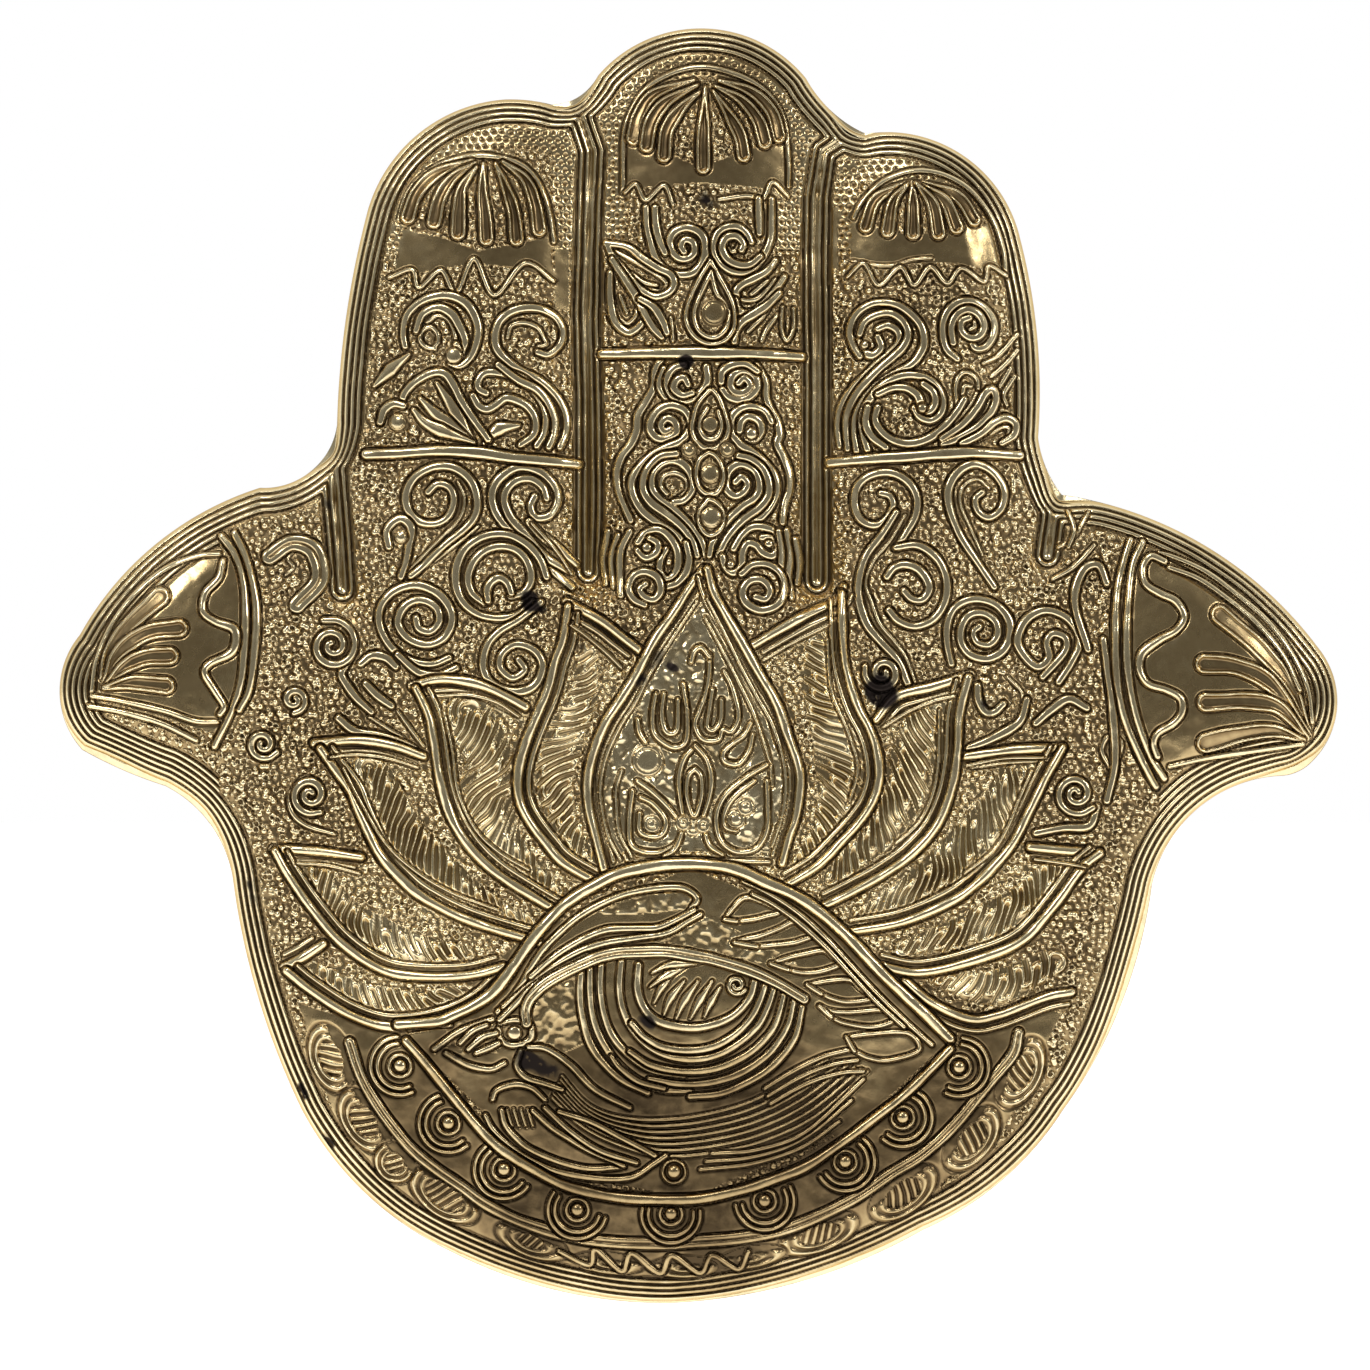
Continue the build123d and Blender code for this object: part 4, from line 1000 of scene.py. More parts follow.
# foot of the palm
for shell in foot["shells"]:
    layShell(*shell)
layAll("wire", foot["zigzags"], width=6)
layAll("pair", foot["divider"], width=12, rise=0.7)
for x, y in foot["studs"]:
    for radius in (29, 22.5):
        lay("wire", awayArc(x, y, radius), width=5.5, rise=0.7)
    lay("wire", awayArc(x, y, 11, 178), width=4.5, rise=0.55)
    dome(x, y, 6.5, 1.1)
dome(674, 1168, 7, 1.2, 6)
layAll("lid", foot["ridge"], width=11, rise=1.1, plateau=0.3)

plain = [  # bare sheet inside the bands
    (405, 232, 440, 240, 480, 255, 550, 240, 556, 284, 520, 272, 476, 268, 430, 276, 395, 280),
    (626, 140, 700, 172, 786, 140, 788, 200, 760, 192, 700, 188, 640, 192, 624, 198),
    (850, 224, 910, 240, 1000, 226, 1005, 276, 960, 268, 900, 265, 850, 268),
    (100, 690, 160, 580, 225, 550, 262, 600, 255, 690, 222, 735, 150, 712),
    (1125, 540, 1230, 580, 1315, 700, 1300, 745, 1180, 760, 1150, 770, 1118, 640),
    (410, 1034, 530, 930, 690, 866, 850, 930, 945, 1040, 860, 1120, 690, 1195, 540, 1165),
    (300, 1000, 360, 1020, 410, 1030, 470, 1110, 600, 1190, 750, 1185, 900, 1090, 1000, 1010, 1060, 1010,
     1000, 1130, 880, 1230, 680, 1285, 480, 1250, 350, 1160),
    (555, 252, 570, 252, 570, 312, 555, 312), (824, 210, 837, 210, 837, 272, 824, 272),
]


lattice = dict(side=1320, rowShare=0.88)  # pixels, row's pitch to the column's


def jittered(mask, pitch, spread, seed):
    # distance from each chosen node to the nearest of a row-shifted, shaken lattice of
    # points, and that point's own random number
    rng = np.random.default_rng(seed)
    side = int(lattice["side"] / pitch) + 4
    shakeX = rng.uniform(-spread, spread, (side, side)).astype(np.float32)
    shakeY = rng.uniform(-spread, spread, (side, side)).astype(np.float32)
    own = rng.uniform(0, 1, (side, side)).astype(np.float32)
    r, c = np.nonzero(mask)
    x = (colPx[c] - raster["left"]).astype(np.float32)
    y = (rowPx[r] - raster["top"]).astype(np.float32)
    j = np.floor(y / (pitch * lattice["rowShare"])).astype(int)
    best = np.full(len(r), 1e6, np.float32)
    number = np.zeros(len(r), np.float32)
    for dj in (-1, 0, 1):
        jj = np.clip(j + dj, 0, side - 1)
        shift = 0.5 * pitch * (jj % 2)
        i = np.floor((x - shift) / pitch).astype(int)
        for di in (-1, 0, 1):
            ii = np.clip(i + di, 0, side - 1)
            px = (ii + 0.5) * pitch + shift + shakeX[jj, ii]
            py = (jj + 0.5) * pitch * lattice["rowShare"] + shakeY[jj, ii]
            far = np.hypot(x - px, y - py)
            better = far < best
            best = np.where(better, far, best)
            number = np.where(better, own[jj, ii], number)
    return r, c, best, number


sandy = [  # finely textured sheet
    (590, 850, 600, 740, 705, 600, 790, 740, 790, 850),
    (530, 972, 556, 965, 584, 964, 580, 1000, 586, 1040, 560, 1052, 534, 1040),
    (448, 1020, 496, 1014, 500, 1050, 450, 1052), (640, 924, 700, 912, 740, 930, 800, 962, 760, 960, 690, 944,
     620, 946),
    (592, 894, 660, 878, 692, 892, 690, 906, 640, 912, 600, 912),
]


def zoneOf(outlines):
    zone = np.zeros(relief.shape, bool)
    for flat in outlines:
        points = np.array(flat, float).reshape(-1, 2)
        win = windowOf(points, 2)
        zone[win] |= insideOf(points, colPx[win[1]], rowPx[win[0]])
    return zone


sand = dict(coarse=0.24, fine=0.14)  # mm
sandZone = zoneOf(sandy) & ~cover
bare = zoneOf(plain) | sandZone
grains = sand["coarse"] * noiseField(5.0, 63) + sand["fine"] * noiseField(3.2, 64)
relief += np.where(sandZone, grains, 0).astype(np.float32)
pits = dict(
    pitch=8.4, shake=0.9, reach=1.9, more=0.5, fall=0.5,  # pixels, mm
    inFrom=4, inTo=27, lowest=255,  # pixels past the cords, and down the picture
)
beads = dict(
    pitch=6.6, shake=2.3, least=1.9, spread=2.0,  # pixels
    rise=0.42, more=0.5, sunk=0.22, grit=0.17,  # mm
    ring=3.1, ringWall=1.15, ringFrom=0.55, ringTo=0.72,  # pixels, shares
    inFrom=2,  # pixels past the cords
)
pitZone = (depth > cordEnd + pits["inFrom"]) & (depth < cordEnd + pits["inTo"])
pitZone &= ~cover & ~bare & (rowPx[:, None] < pits["lowest"])
beadZone = ~cover & ~bare & ~pitZone & (depth > cordEnd + beads["inFrom"])
r, c, far, number = jittered(beadZone, beads["pitch"], beads["shake"], 41)
size = beads["least"] + beads["spread"] * number
bead = np.sqrt(np.clip(1 - (far / size) ** 2, 0, 1))
ringed = np.exp(-((far - beads["ring"]) / beads["ringWall"]) ** 2)  # some punches leave a ring
bead = np.where((number > beads["ringFrom"]) & (number < beads["ringTo"]), ringed, bead)
relief[r, c] += (beads["rise"] + beads["more"] * number ** 2) * bead - beads["sunk"]
grit = noiseField(5.2, 61) * 0.6 + noiseField(9.0, 62) * 0.4
relief[r, c] += beads["grit"] * grit[r, c]
r, c, far, number = jittered(pitZone, pits["pitch"], pits["shake"], 42)
relief[r, c] -= pits["fall"] * np.exp(-(far / (pits["reach"] + pits["more"] * number)) ** 2)

hand = dict(coarse=0.16, middle=0.075, fine=0.045)  # mm of unevenness from hand work
relief += hand["middle"] * noiseField(15, 51) + hand["fine"] * noiseField(6, 52)
height = base + relief + hand["coarse"] * noiseField(44, 53)
print("ground: laid")


def blur(values, reach):
    # mean over a square of nodes, taken along each axis in turn
    for axis in (0, 1):
        pad = [(0, 0), (0, 0)]
        pad[axis] = (reach + 1, reach)
        total = np.cumsum(np.pad(values, pad, mode="edge"), axis=axis, dtype=np.float64)
        count = values.shape[axis]
        high = np.take(total, np.arange(2 * reach + 1, 2 * reach + 1 + count), axis)
        low = np.take(total, np.arange(count), axis)
        values = ((high - low) / (2 * reach + 1)).astype(np.float32)
    return values


petalSheet = (
    296, 850, 372, 858, 330, 752, 425, 752, 424, 694, 520, 704, 566, 610, 640, 660, 704, 580, 760, 660, 838, 604,
    866, 700, 960, 684, 950, 760, 1050, 752, 1020, 850, 1088, 856, 1000, 940, 1060, 980, 1000, 1010, 850, 940,
    760, 880, 690, 862, 620, 876, 540, 930, 420, 1010, 340, 1000, 300, 960, 380, 960,
)  # the lotus, painted paler than the ground about it: painted light
shade = dict(middle=0.39, lotusLight=0.21, near=1.12, wide=0.42)  # share, share, share per mm
near = relief - blur(relief, 6)
wide = relief - blur(blur(relief, 16), 16)
lotusLight = blur(zoneOf([petalSheet]).astype(np.float32), 10)
# dark patina where the relief sinks below its surroundings, and painted light that makes the lotus paler
hollow = shade["middle"] - shade["lotusLight"] * lotusLight - shade["near"] * near - shade["wide"] * wide
hollow = np.clip(hollow, 0, 1)  # 1 in the grooves, 0 on the crests

stepMm = raster["step"] * mmPerPx
slopeX = np.gradient(height, stepMm, axis=1)
slopeZ = -np.gradient(height, stepMm, axis=0)
every = raster["meshEvery"]
meshHeight = height[::every, ::every]
meshX = placeX(colPx[::every])
meshZ = placeZ(rowPx[::every])
meshSlopeX = slopeX[::every, ::every]
meshSlopeZ = slopeZ[::every, ::every]
# groove patina with the lotus's painted light, at each node of the mesh
meshPatinaAndLight = hollow[::every, ::every]

flaws = [  # near-black spots and streaks in the deepest gaps and a hole: painted shade; from, to, reach, strength
    ((530, 596), (531, 610), 5, 1.0), ((536, 608), (549, 612), 3, 0.8), ((520, 612), (500, 632), 3, 0.6),
    ((672, 644), (638, 684), 5, 1.1), ((668, 664), (684, 678), 4, 0.8), ((872, 680), (886, 702), 8, 1.1),
    ((694, 196), (712, 210), 6, 0.45), ((684, 364), (688, 366), 4, 1.0), ((978, 700), (992, 722), 4, 0.7),
    ((516, 1052), (560, 1072), 8, 0.9), ((607, 968), (616, 1020), 4, 0.8), ((640, 1008), (652, 1022), 5, 0.7),
    ((714, 1092), (780, 1106), 5, 0.8), ((327, 498), (332, 512), 3, 0.7), ((1096, 950), (1090, 1000), 4, 0.7),
    ((250, 880), (258, 910), 4, 0.7), ((490, 1238), (545, 1254), 5, 0.7), ((660, 1262), (760, 1256), 5, 0.5),
    ((436, 1044), (470, 1056), 6, 0.7), ((598, 636), (572, 660), 6, 0.4), ((120, 706), (180, 724), 5, 0.6),
    ((300, 1080), (306, 1096), 4, 0.8), ((324, 1134), (334, 1148), 4, 0.8),
    ((1064, 468), (1056, 500), 3, 0.7), ((1170, 780), (1150, 792), 4, 0.6), ((604, 240), (604, 330), 3, 0.5),
]
shadePatches = [  # painted shade: darker tone over the foot, the finger tips and the valleys between the fingers; x, y, reach, strength
    (690, 1120, 95, 0.8), (560, 1075, 50, 0.5), (520, 1190, 90, 0.9), (690, 1235, 110, 0.8), (860, 1180, 100, 0.8),
    (960, 1090, 70, 0.6), (400, 1110, 70, 0.6), (589, 300, 34, 0.15), (818, 340, 34, 0.15),
    (440, 1060, 30, 0.6), (640, 1130, 60, 0.4), (770, 1120, 60, 0.4), (700, 1190, 60, 0.4),
    (700, 120, 70, 0.25), (480, 230, 50, 0.3), (920, 250, 50, 0.3), (590, 645, 26, 0.4),
]
# the painted shade spots at each node of the mesh
meshShadeSpot = np.zeros(meshHeight.shape, np.float32)
for start, end, reach, amount in flaws:
    streak = np.stack([np.linspace(a, b, 9) for a, b in zip(start, end)], 1)
    spots = [(x, y, reach * 1.5, amount * 0.42) for x, y in streak]  # overlapping bells
    meshShadeSpot += bumps(spots, colPx[::every], rowPx[::every])
ragged = 0.6 * noiseField(10, 71) + 0.5 * noiseField(5.5, 72)
meshShadeSpot = np.clip(meshShadeSpot * (1.0 + 0.75 * ragged[::every, ::every]) - 0.15, 0, 1)
# the painted shade at each node of the mesh
meshShade = np.clip(bumps(shadePatches, colPx[::every], rowPx[::every]), 0, 1)

insideCells = edgeDepth[::every, ::every] > raster["meshFrom"]
cells = insideCells[:-1, :-1] & insideCells[1:, :-1] & insideCells[1:, 1:] & insideCells[:-1, 1:]
cellX = colPx[::every][:-1][None, :] + 0 * cells
cellY = rowPx[::every][:-1][:, None] + 0 * cells
fingerCells = cellY < 602
panels = {  # taken in this order, so each gets what is left
    "face_left_thumb": (cellX < 345) & (cellY > 430) & (cellY < 872),
    "face_right_thumb": (cellX > 1052) & (cellY > 470) & (cellY < 872),
    "face_left_finger": fingerCells & (cellX < 589),
    "face_middle_finger": fingerCells & (cellX < 816),
    "face_right_finger": fingerCells,
    "face_lotus_left": (cellY < 872) & (cellX < 704),
    "face_lotus_right": cellY < 872,
    "face_eye_left": (cellY < 1052) & (cellX < 690),
    "face_eye_right": cellY < 1052,
    "face_foot_left": cellX < 690,
    "face_foot_right": cellX > 0,
}


def addAttribute(mesh, name, values):
    attribute = mesh.attributes.new(name, "FLOAT", "POINT")
    attribute.data.foreach_set("value", np.ascontiguousarray(values, np.float32))


def newPiece(name, places, quads, normals=None, **values):
    mesh = bpy.data.meshes.new(name)
    mesh.vertices.add(len(places))
    mesh.vertices.foreach_set("co", np.ascontiguousarray(places, np.float32).ravel())
    mesh.loops.add(quads.size)
    mesh.loops.foreach_set("vertex_index", np.ascontiguousarray(quads, np.int32).ravel())
    mesh.polygons.add(len(quads))
    mesh.polygons.foreach_set("loop_start", np.arange(0, quads.size, 4, dtype=np.int32))
    mesh.polygons.foreach_set("use_smooth", np.ones(len(quads), bool))
    mesh.update()
    for key, value in values.items():
        addAttribute(mesh, key, value)
    if normals is not None:
        mesh.normals_split_custom_set_from_vertices(normals.tolist())
    piece = bpy.data.objects.new(name, mesh)
    bpy.context.scene.collection.objects.link(piece)
    return piece


def materialOf(name):
    m = bpy.data.materials.new(name)
    m.use_nodes = True
    nodes = m.node_tree.nodes
    return m, nodes, m.node_tree.links, nodes["Principled BSDF"]


def rampNode(source, stops):
    node = source.id_data.nodes.new("ShaderNodeValToRGB")
    ramp = node.color_ramp
    while len(ramp.elements) < len(stops):
        ramp.elements.new(0.5)
    for element, (place, colour) in zip(ramp.elements, stops):
        element.position = place
        element.color = (*colour, 1)
    source.id_data.links.new(source, node.inputs[0])
    return node.outputs[0]


def mathNode(operation, first, second, clamp=False):
    # first is a socket, and second a socket or a number
    node = first.id_data.nodes.new("ShaderNodeMath")
    node.operation = operation
    node.use_clamp = clamp
    for socket, value in zip(node.inputs, (first, second)):
        if isinstance(value, (int, float)):
            socket.default_value = value
        else:
            first.id_data.links.new(value, socket)
    return node.outputs[0]


def noiseNode(place, scale, detail=3.0, rough=0.55):
    node = place.id_data.nodes.new("ShaderNodeTexNoise")
    node.inputs["Scale"].default_value = scale
    node.inputs["Detail"].default_value = detail
    node.inputs["Roughness"].default_value = rough
    place.id_data.links.new(place, node.inputs["Vector"])
    return node.outputs["Fac"]


def attributeNode(nodes, name):
    node = nodes.new("ShaderNodeAttribute")
    node.attribute_name = name
    return node.outputs["Fac"]


def bumpNode(shader, height, strength, distance):
    node = height.id_data.nodes.new("ShaderNodeBump")
    node.inputs["Strength"].default_value = strength
    node.inputs["Distance"].default_value = distance
    height.id_data.links.new(height, node.inputs["Height"])
    height.id_data.links.new(node.outputs["Normal"], shader.inputs["Normal"])


brass = dict(
    bright=(0.88, 0.75, 0.47), mid=(0.50, 0.375, 0.19), deep=(0.28, 0.195, 0.095), dark=(0.085, 0.058, 0.03),
    # the first colour on the next line is the near-black of the painted shade spots
    shadeBlack=(0.03, 0.023, 0.02), tint=(0.72, 0.58, 0.38),
    rough=0.205, roughSpread=0.16, roughShadeSpot=0.3,
    blotch=0.5, grain=0.35, shadeDarkening=0.72,  # shares by which noise and the painted shade shift the tone
    blotchScale=60.0, speckScale=620.0, grainScale=900.0,
)


def brassMaterial():
    # gold-coloured brass: dark patina in the grooves, paler on the crests; painted light makes the lotus paler,
    # painted shade darkens patches and the side wall, and painted shade spots are near black
    m, nodes, links, shader = materialOf("chased_brass")
    place = nodes.new("ShaderNodeTexCoord").outputs["Object"]
    # hollow carries the groove patina, the lotus's painted light and the side wall's painted shade
    groove, flaw, patina = (attributeNode(nodes, name) for name in ("hollow", "flaw", "patina"))
    blotch = noiseNode(place, brass["blotchScale"], 4.0)
    speck = noiseNode(place, brass["speckScale"])
    spread = mathNode("MULTIPLY", mathNode("SUBTRACT", blotch, 0.5), brass["blotch"])
    # painted shade, broken up by the blotches, darkens the tone
    shadeDarkening = mathNode("MULTIPLY", patina, mathNode("ADD", blotch, 0.1))
    grain = mathNode("MULTIPLY", mathNode("SUBTRACT", speck, 0.5), brass["grain"])
    tone = mathNode("ADD", groove, spread)
    tone = mathNode("ADD", tone, mathNode("MULTIPLY", shadeDarkening, brass["shadeDarkening"]))
    tone = mathNode("ADD", tone, grain, True)
    metal = rampNode(tone, [
        (0.0, brass["bright"]), (0.36, brass["mid"]), (0.66, brass["deep"]), (1.0, brass["dark"]),
    ])
    # painted shade spots: the tone is mixed towards near black there
    spots = mathNode("SUBTRACT", mathNode("MULTIPLY", flaw, 1.4), mathNode("MULTIPLY", speck, 3.0))
    spots = mathNode("MULTIPLY", mathNode("ADD", spots, 1.0), 1.8, True)
    spots = mathNode("MULTIPLY", spots, flaw, True)
    mix = nodes.new("ShaderNodeMix")
    mix.data_type = "RGBA"
    links.new(spots, mix.inputs["Factor"])
    links.new(metal, mix.inputs["A"])
    mix.inputs["B"].default_value = (*brass["shadeBlack"], 1)
    links.new(mix.outputs["Result"], shader.inputs["Base Color"])
    shader.inputs["Metallic"].default_value = 1.0
    shader.inputs["Specular Tint"].default_value = (*brass["tint"], 1)
    rough = mathNode("ADD", mathNode("MULTIPLY", tone, brass["roughSpread"]), brass["rough"])
    rough = mathNode("ADD", rough, mathNode("MULTIPLY", spots, brass["roughShadeSpot"]))
    links.new(rough, shader.inputs["Roughness"])
    bumpNode(shader, noiseNode(place, brass["grainScale"], 4.0, 0.6), 0.35, 0.0001)
    return m


chasedBrass = brassMaterial()

taken = np.zeros(cells.shape, bool)
number = np.full(meshHeight.shape, -1, np.int64)
for name, zone in panels.items():
    mine = cells & zone & ~taken
    taken |= mine
    r, c = np.nonzero(mine)
    used = np.zeros(meshHeight.shape, bool)
    for dr, dc in ((0, 0), (1, 0), (1, 1), (0, 1)):
        used[r + dr, c + dc] = True
    ur, uc = np.nonzero(used)
    number[ur, uc] = np.arange(len(ur))
    quads = np.stack([number[r, c], number[r + 1, c], number[r + 1, c + 1], number[r, c + 1]], 1)
    places = np.stack([meshX[uc], placeY(meshHeight[ur, uc]), meshZ[ur]], 1)
    normals = np.stack([-meshSlopeX[ur, uc], -np.ones(len(ur)), -meshSlopeZ[ur, uc]], 1)
    normals /= np.linalg.norm(normals, axis=1)[:, None]
    piece = newPiece(
        name, places, quads, normals,
        hollow=meshPatinaAndLight[ur, uc], flaw=meshShadeSpot[ur, uc], patina=meshShade[ur, uc],
    )
    piece.data.materials.append(chasedBrass)
    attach(piece, "ornament")
    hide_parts("face_shell")
    print(name, len(quads) * 2, "triangles")

# the rim and side wall: a profile carried round the outline
rim = dict(
    inward=(0, 0.12, 0.35, 0.7, 1.1, 1.6, 2.2, 2.9, 3.6, 4.3, 5.0, 5.6, 6.2, 6.8, 7.4, 8.0),  # pixels
    wallRows=14, lip=5.1, foot=1.0, footOut=0.35,  # count, pixels
    bumpFrom=0.8, bumpRun=1.2, sinkFrom=6.5, sinkRun=1.5, sink=0.22,  # pixels, mm
    wallShade=1.0, shadeRows=3,  # share of painted shade on the side wall, rows over the wall that have it too
    darkRows=6, dark=1.0, wallTone=0.5, rimTone=0.25, cordTone=0.9, cordFrom=3.0,  # rows, shares, pixels; the side wall is painted dark as shade, darkest in the rows nearest the back
)
ahead = np.roll(edge, -1, 0) - np.roll(edge, 1, 0)
ahead /= np.hypot(*ahead.T)[:, None]
inwardX, inwardY = -ahead[:, 1], ahead[:, 0]
middle = np.array([690.0, 700.0])
if ((middle - edge) * np.stack([inwardX, inwardY], 1)).sum() < 0:
    inwardX, inwardY = -inwardX, -inwardY
leanEdge = sum(
    amount * np.exp(-((edge[:, 0] - x) / reach) ** 2 - ((edge[:, 1] - y) / reach) ** 2)
    for x, y, reach, amount in form["flares"]
)
n = len(edge)
wallTop = formHeight(-leanEdge)
profile = [(rim["lip"], np.zeros(n)), (rim["foot"], np.zeros(n))]  # pixels in, height in mm
for share in np.linspace(0, 1, rim["wallRows"])[:-1]:
    profile.append((rim["footOut"] * (1 - min(1, share * 8)), wallTop * share))
for d in rim["inward"]:
    deep = d - leanEdge
    rising = np.clip((deep - rim["bumpFrom"]) / rim["bumpRun"], 0, 1)
    value = formHeight(deep) + np.where(deep > rim["bumpFrom"], cordHeight(deep) * rising, 0)
    if d > rim["sinkFrom"]:
        value = value - rim["sink"] * (d - rim["sinkFrom"]) / rim["sinkRun"]
    profile.append((float(d), value))
count = len(profile)
rimPlaces = np.concatenate([
    np.stack([placeX(edge[:, 0] + inwardX * d), placeY(h), placeZ(edge[:, 1] + inwardY * d)], 1)
    for d, h in profile
])
k = np.arange(n)
nextK = (k + 1) % n
rimQuads = np.concatenate([
    np.stack([j * n + k, j * n + nextK, (j + 1) * n + nextK, (j + 1) * n + k], 1) for j in range(count - 1)
])
rimGrooveAndShade = []
rimShade = []
for j, (d, h) in enumerate(profile):
    cords = cordHeight(np.maximum(d - leanEdge, rim["cordFrom"]))
    # the side wall's tone is painted shade, darkest in the rows nearest the back; over the cords, dark patina lies in
    # their grooves
    wall = np.full(n, rim["dark"] if j < rim["darkRows"] else rim["wallTone"])
    onRim = j > rim["wallRows"]
    rimGrooveAndShade.append(np.clip(rim["rimTone"] - rim["cordTone"] * cords, 0, 1) if onRim else wall)
    rimShade.append(np.full(n, 0.0 if j > rim["wallRows"] + rim["shadeRows"] else rim["wallShade"]))
rimPiece = newPiece(
    "face_rim", rimPlaces, rimQuads,
    hollow=np.concatenate(rimGrooveAndShade), flaw=np.zeros(len(rimPlaces)), patina=np.concatenate(rimShade),
)
probe = len(rimQuads) // 3  # one face, whose normal tells if all of them have to be turned round
first, second, third = (rimPlaces[rimQuads[probe, i]] for i in range(3))
outward = np.array([-inwardX[probe % n], 0, inwardY[probe % n]])
if np.cross(second - first, third - first) @ outward < 0:
    rimPiece.data.flip_normals()
rimPiece.data.materials.append(chasedBrass)
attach(rimPiece, "ornament")
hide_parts("face_shell")
print("rim:", len(rimQuads) * 2, "triangles")

# finishes of the nodes behind
finishes = {
    "filler_core": dict(colour=(0.33, 0.30, 0.25), spread=0.2, scale=180.0, rough=0.85, bump=0.0004),
    "back_board": dict(
        colour=(0.20, 0.105, 0.05), spread=0.45, scale=90.0, rough=0.6, bump=0.0002, stretch=(0.06, 1, 1),
    ),
    "back_felt": dict(colour=(0.018, 0.016, 0.016), spread=0.5, scale=2200.0, rough=1.0, bump=0.0006),
    "wall_pads": dict(colour=(0.03, 0.03, 0.032), spread=0.3, scale=900.0, rough=0.75, bump=0.0001),
    "board_screws": dict(colour=(0.62, 0.60, 0.56), spread=0.2, scale=500.0, rough=0.3, metal=1.0, bump=0.00005),
    "hanger_strap": dict(
        colour=(0.66, 0.60, 0.46), spread=0.25, scale=300.0, rough=0.32, metal=1.0, bump=0.00006,
        stretch=(1, 1, 0.1),
    ),
    "hanger_screws": dict(colour=(0.62, 0.60, 0.56), spread=0.2, scale=500.0, rough=0.3, metal=1.0, bump=0.00005),
    "hanger_ring": dict(colour=(0.70, 0.64, 0.50), spread=0.2, scale=350.0, rough=0.26, metal=1.0, bump=0.00005),
}
for name, look in finishes.items():
    m, nodes, links, shader = materialOf(name + "_finish")
    mapping = nodes.new("ShaderNodeMapping")
    mapping.inputs["Scale"].default_value = look.get("stretch", (1, 1, 1))
    links.new(nodes.new("ShaderNodeTexCoord").outputs["Object"], mapping.inputs["Vector"])
    pattern = noiseNode(mapping.outputs["Vector"], look["scale"], 5.0, 0.6)
    broad = noiseNode(mapping.outputs["Vector"], look["scale"] / 9)
    both = mathNode("MULTIPLY", mathNode("ADD", pattern, broad), 0.5)
    colour = np.array(look["colour"])
    darker, paler = colour * (1 - look["spread"]), np.minimum(1, colour * (1 + look["spread"]))
    links.new(rampNode(both, [(0.32, darker), (0.68, paler)]), shader.inputs["Base Color"])
    shader.inputs["Metallic"].default_value = look.get("metal", 0.0)
    rough = mathNode("ADD", mathNode("MULTIPLY", pattern, 0.2), look["rough"] - 0.1, True)
    links.new(rough, shader.inputs["Roughness"])
    bumpNode(shader, pattern, 0.6, look["bump"])
    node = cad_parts[name]
    node.data.materials.clear()
    node.data.materials.append(m)
print("finishes: done")

studio = dict(
    toward=0.19, side=0.42, behind=1.0, floorGlow=0.75,  # strengths
    under=0.45, level=0.85, above=1.0,  # share of them below, level and above
    lamps=[  # place, size, watts
        ((-0.62, -0.80, 0.60), 0.30, 4.0),
        ((0.85, -0.60, 0.35), 0.24, 2.3),
        ((-0.05, -0.45, 0.95), 0.34, 2.7),
        ((-0.75, -0.45, -0.50), 0.20, 1.1),
    ],
    floor=(7, -0.5, 9, -0.30),  # half width, front, rear and level in metres
)
camera = dict(place=(-0.0006, -1.2, -0.0665), lens=159.6, sensor=36.0)  # metres, millimetres
scene = bpy.context.scene
half, front, rear, level = studio["floor"]
corners = [(-half, front, level), (half, front, level), (half, rear, level), (-half, rear, level)]
floor = newPiece("studio_floor", np.array(corners, float), np.array([(0, 1, 2, 3)]))
m, nodes, links, shader = materialOf("floor_paper")
shader.inputs["Base Color"].default_value = (0.86, 0.86, 0.86, 1)
shader.inputs["Roughness"].default_value = 0.9
rays = nodes.new("ShaderNodeLightPath")
seen = mathNode("ADD", rays.outputs["Is Camera Ray"], rays.outputs["Is Glossy Ray"])
seen = mathNode("ADD", seen, rays.outputs["Is Transmission Ray"], True)
shader.inputs["Emission Color"].default_value = (1, 1, 1, 1)
links.new(mathNode("MULTIPLY", seen, studio["floorGlow"]), shader.inputs["Emission Strength"])
floor.data.materials.append(m)

def halved(socket):  # a direction's -1 to 1 as 0 to 1
    return mathNode("ADD", mathNode("MULTIPLY", socket, 0.5), 0.5)


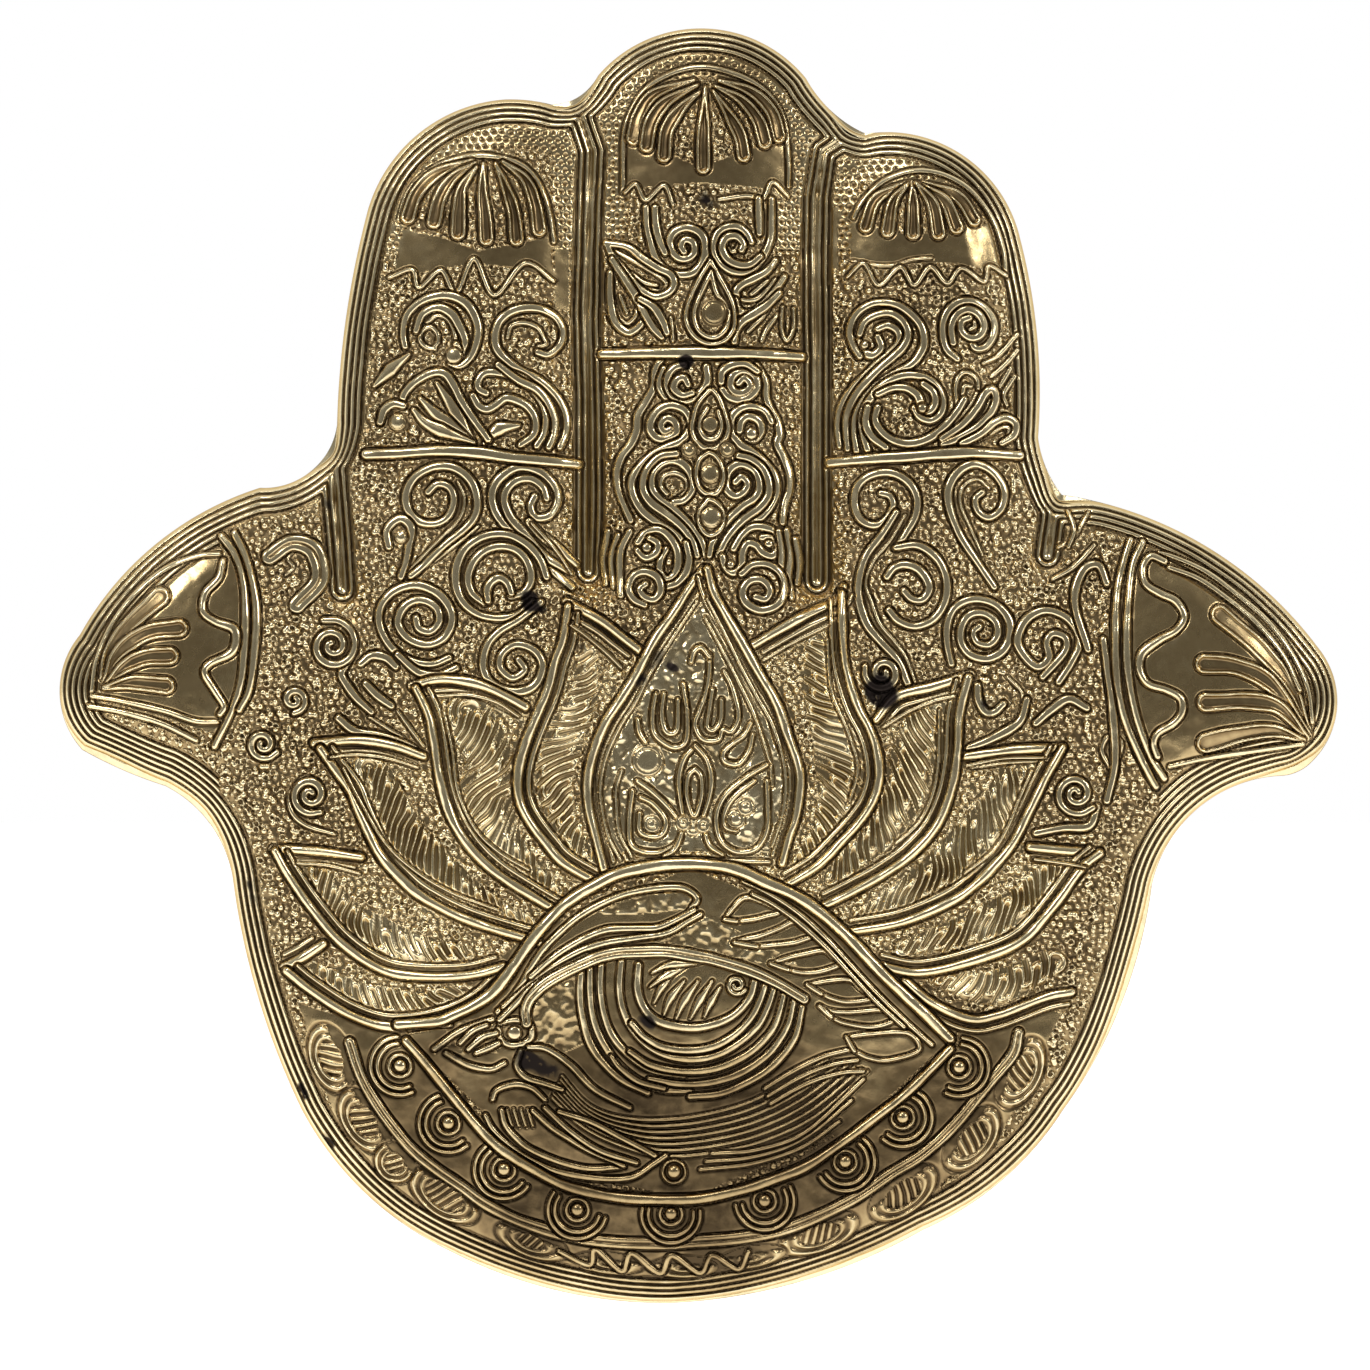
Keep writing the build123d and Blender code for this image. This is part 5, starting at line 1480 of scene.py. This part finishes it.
world = bpy.data.worlds.new("studio_world")
scene.world = world
world.use_nodes = True
nodes, links = world.node_tree.nodes, world.node_tree.links
nodes.clear()
back = nodes.new("ShaderNodeBackground")
lit = nodes.new("ShaderNodeBackground")
mixer = nodes.new("ShaderNodeMixShader")
rays = nodes.new("ShaderNodeLightPath")
split = nodes.new("ShaderNodeSeparateXYZ")
links.new(nodes.new("ShaderNodeTexCoord").outputs["Generated"], split.inputs[0])
across = rampNode(halved(split.outputs["Y"]), [
    (0.0, (studio["toward"],) * 3), (0.12, (studio["toward"],) * 3), (0.34, (studio["side"] * 0.6,) * 3),
    (0.5, (studio["side"],) * 3), (0.62, (studio["behind"],) * 3),
])
upward = rampNode(halved(split.outputs["Z"]), [
    (0.0, (studio["under"],) * 3), (0.42, (studio["level"],) * 3), (0.7, (studio["above"],) * 3),
])
links.new(mathNode("MULTIPLY", across, upward), lit.inputs["Strength"])
backdrop = rampNode(halved(split.outputs["Y"]), [(0.55, (0, 0, 0)), (0.66, (1, 1, 1))])  # behind the object
mirrored = mathNode("ADD", rays.outputs["Is Glossy Ray"], rays.outputs["Is Transmission Ray"], True)
seen = mathNode("MAXIMUM", rays.outputs["Is Camera Ray"], mathNode("MULTIPLY", mirrored, backdrop))
lit.inputs["Color"].default_value = (1, 0.985, 0.955, 1)
back.inputs["Color"].default_value = (1, 1, 1, 1)
back.inputs["Strength"].default_value = 1.0
links.new(seen, mixer.inputs[0])
links.new(lit.outputs[0], mixer.inputs[1])
links.new(back.outputs[0], mixer.inputs[2])
links.new(mixer.outputs[0], nodes.new("ShaderNodeOutputWorld").inputs[0])

aim = Vector((0, 0, camera["place"][2]))
for k, (spot, side, watts) in enumerate(studio["lamps"]):
    lamp = bpy.data.lights.new(f"softbox_{k}", "AREA")
    lamp.shape = "SQUARE"
    lamp.size = side
    lamp.energy = watts
    holder = bpy.data.objects.new(f"softbox_{k}", lamp)
    holder.location = spot
    holder.rotation_euler = (aim - Vector(spot)).to_track_quat("-Z", "Y").to_euler()
    scene.collection.objects.link(holder)

eyePoint = bpy.data.cameras.new("view")
eyePoint.lens = camera["lens"]
eyePoint.sensor_width = camera["sensor"]
viewer = bpy.data.objects.new("view", eyePoint)
viewer.location = camera["place"]
viewer.rotation_euler = (math.radians(90), 0, 0)
scene.collection.objects.link(viewer)
scene.camera = viewer
scene.view_settings.view_transform = "Standard"
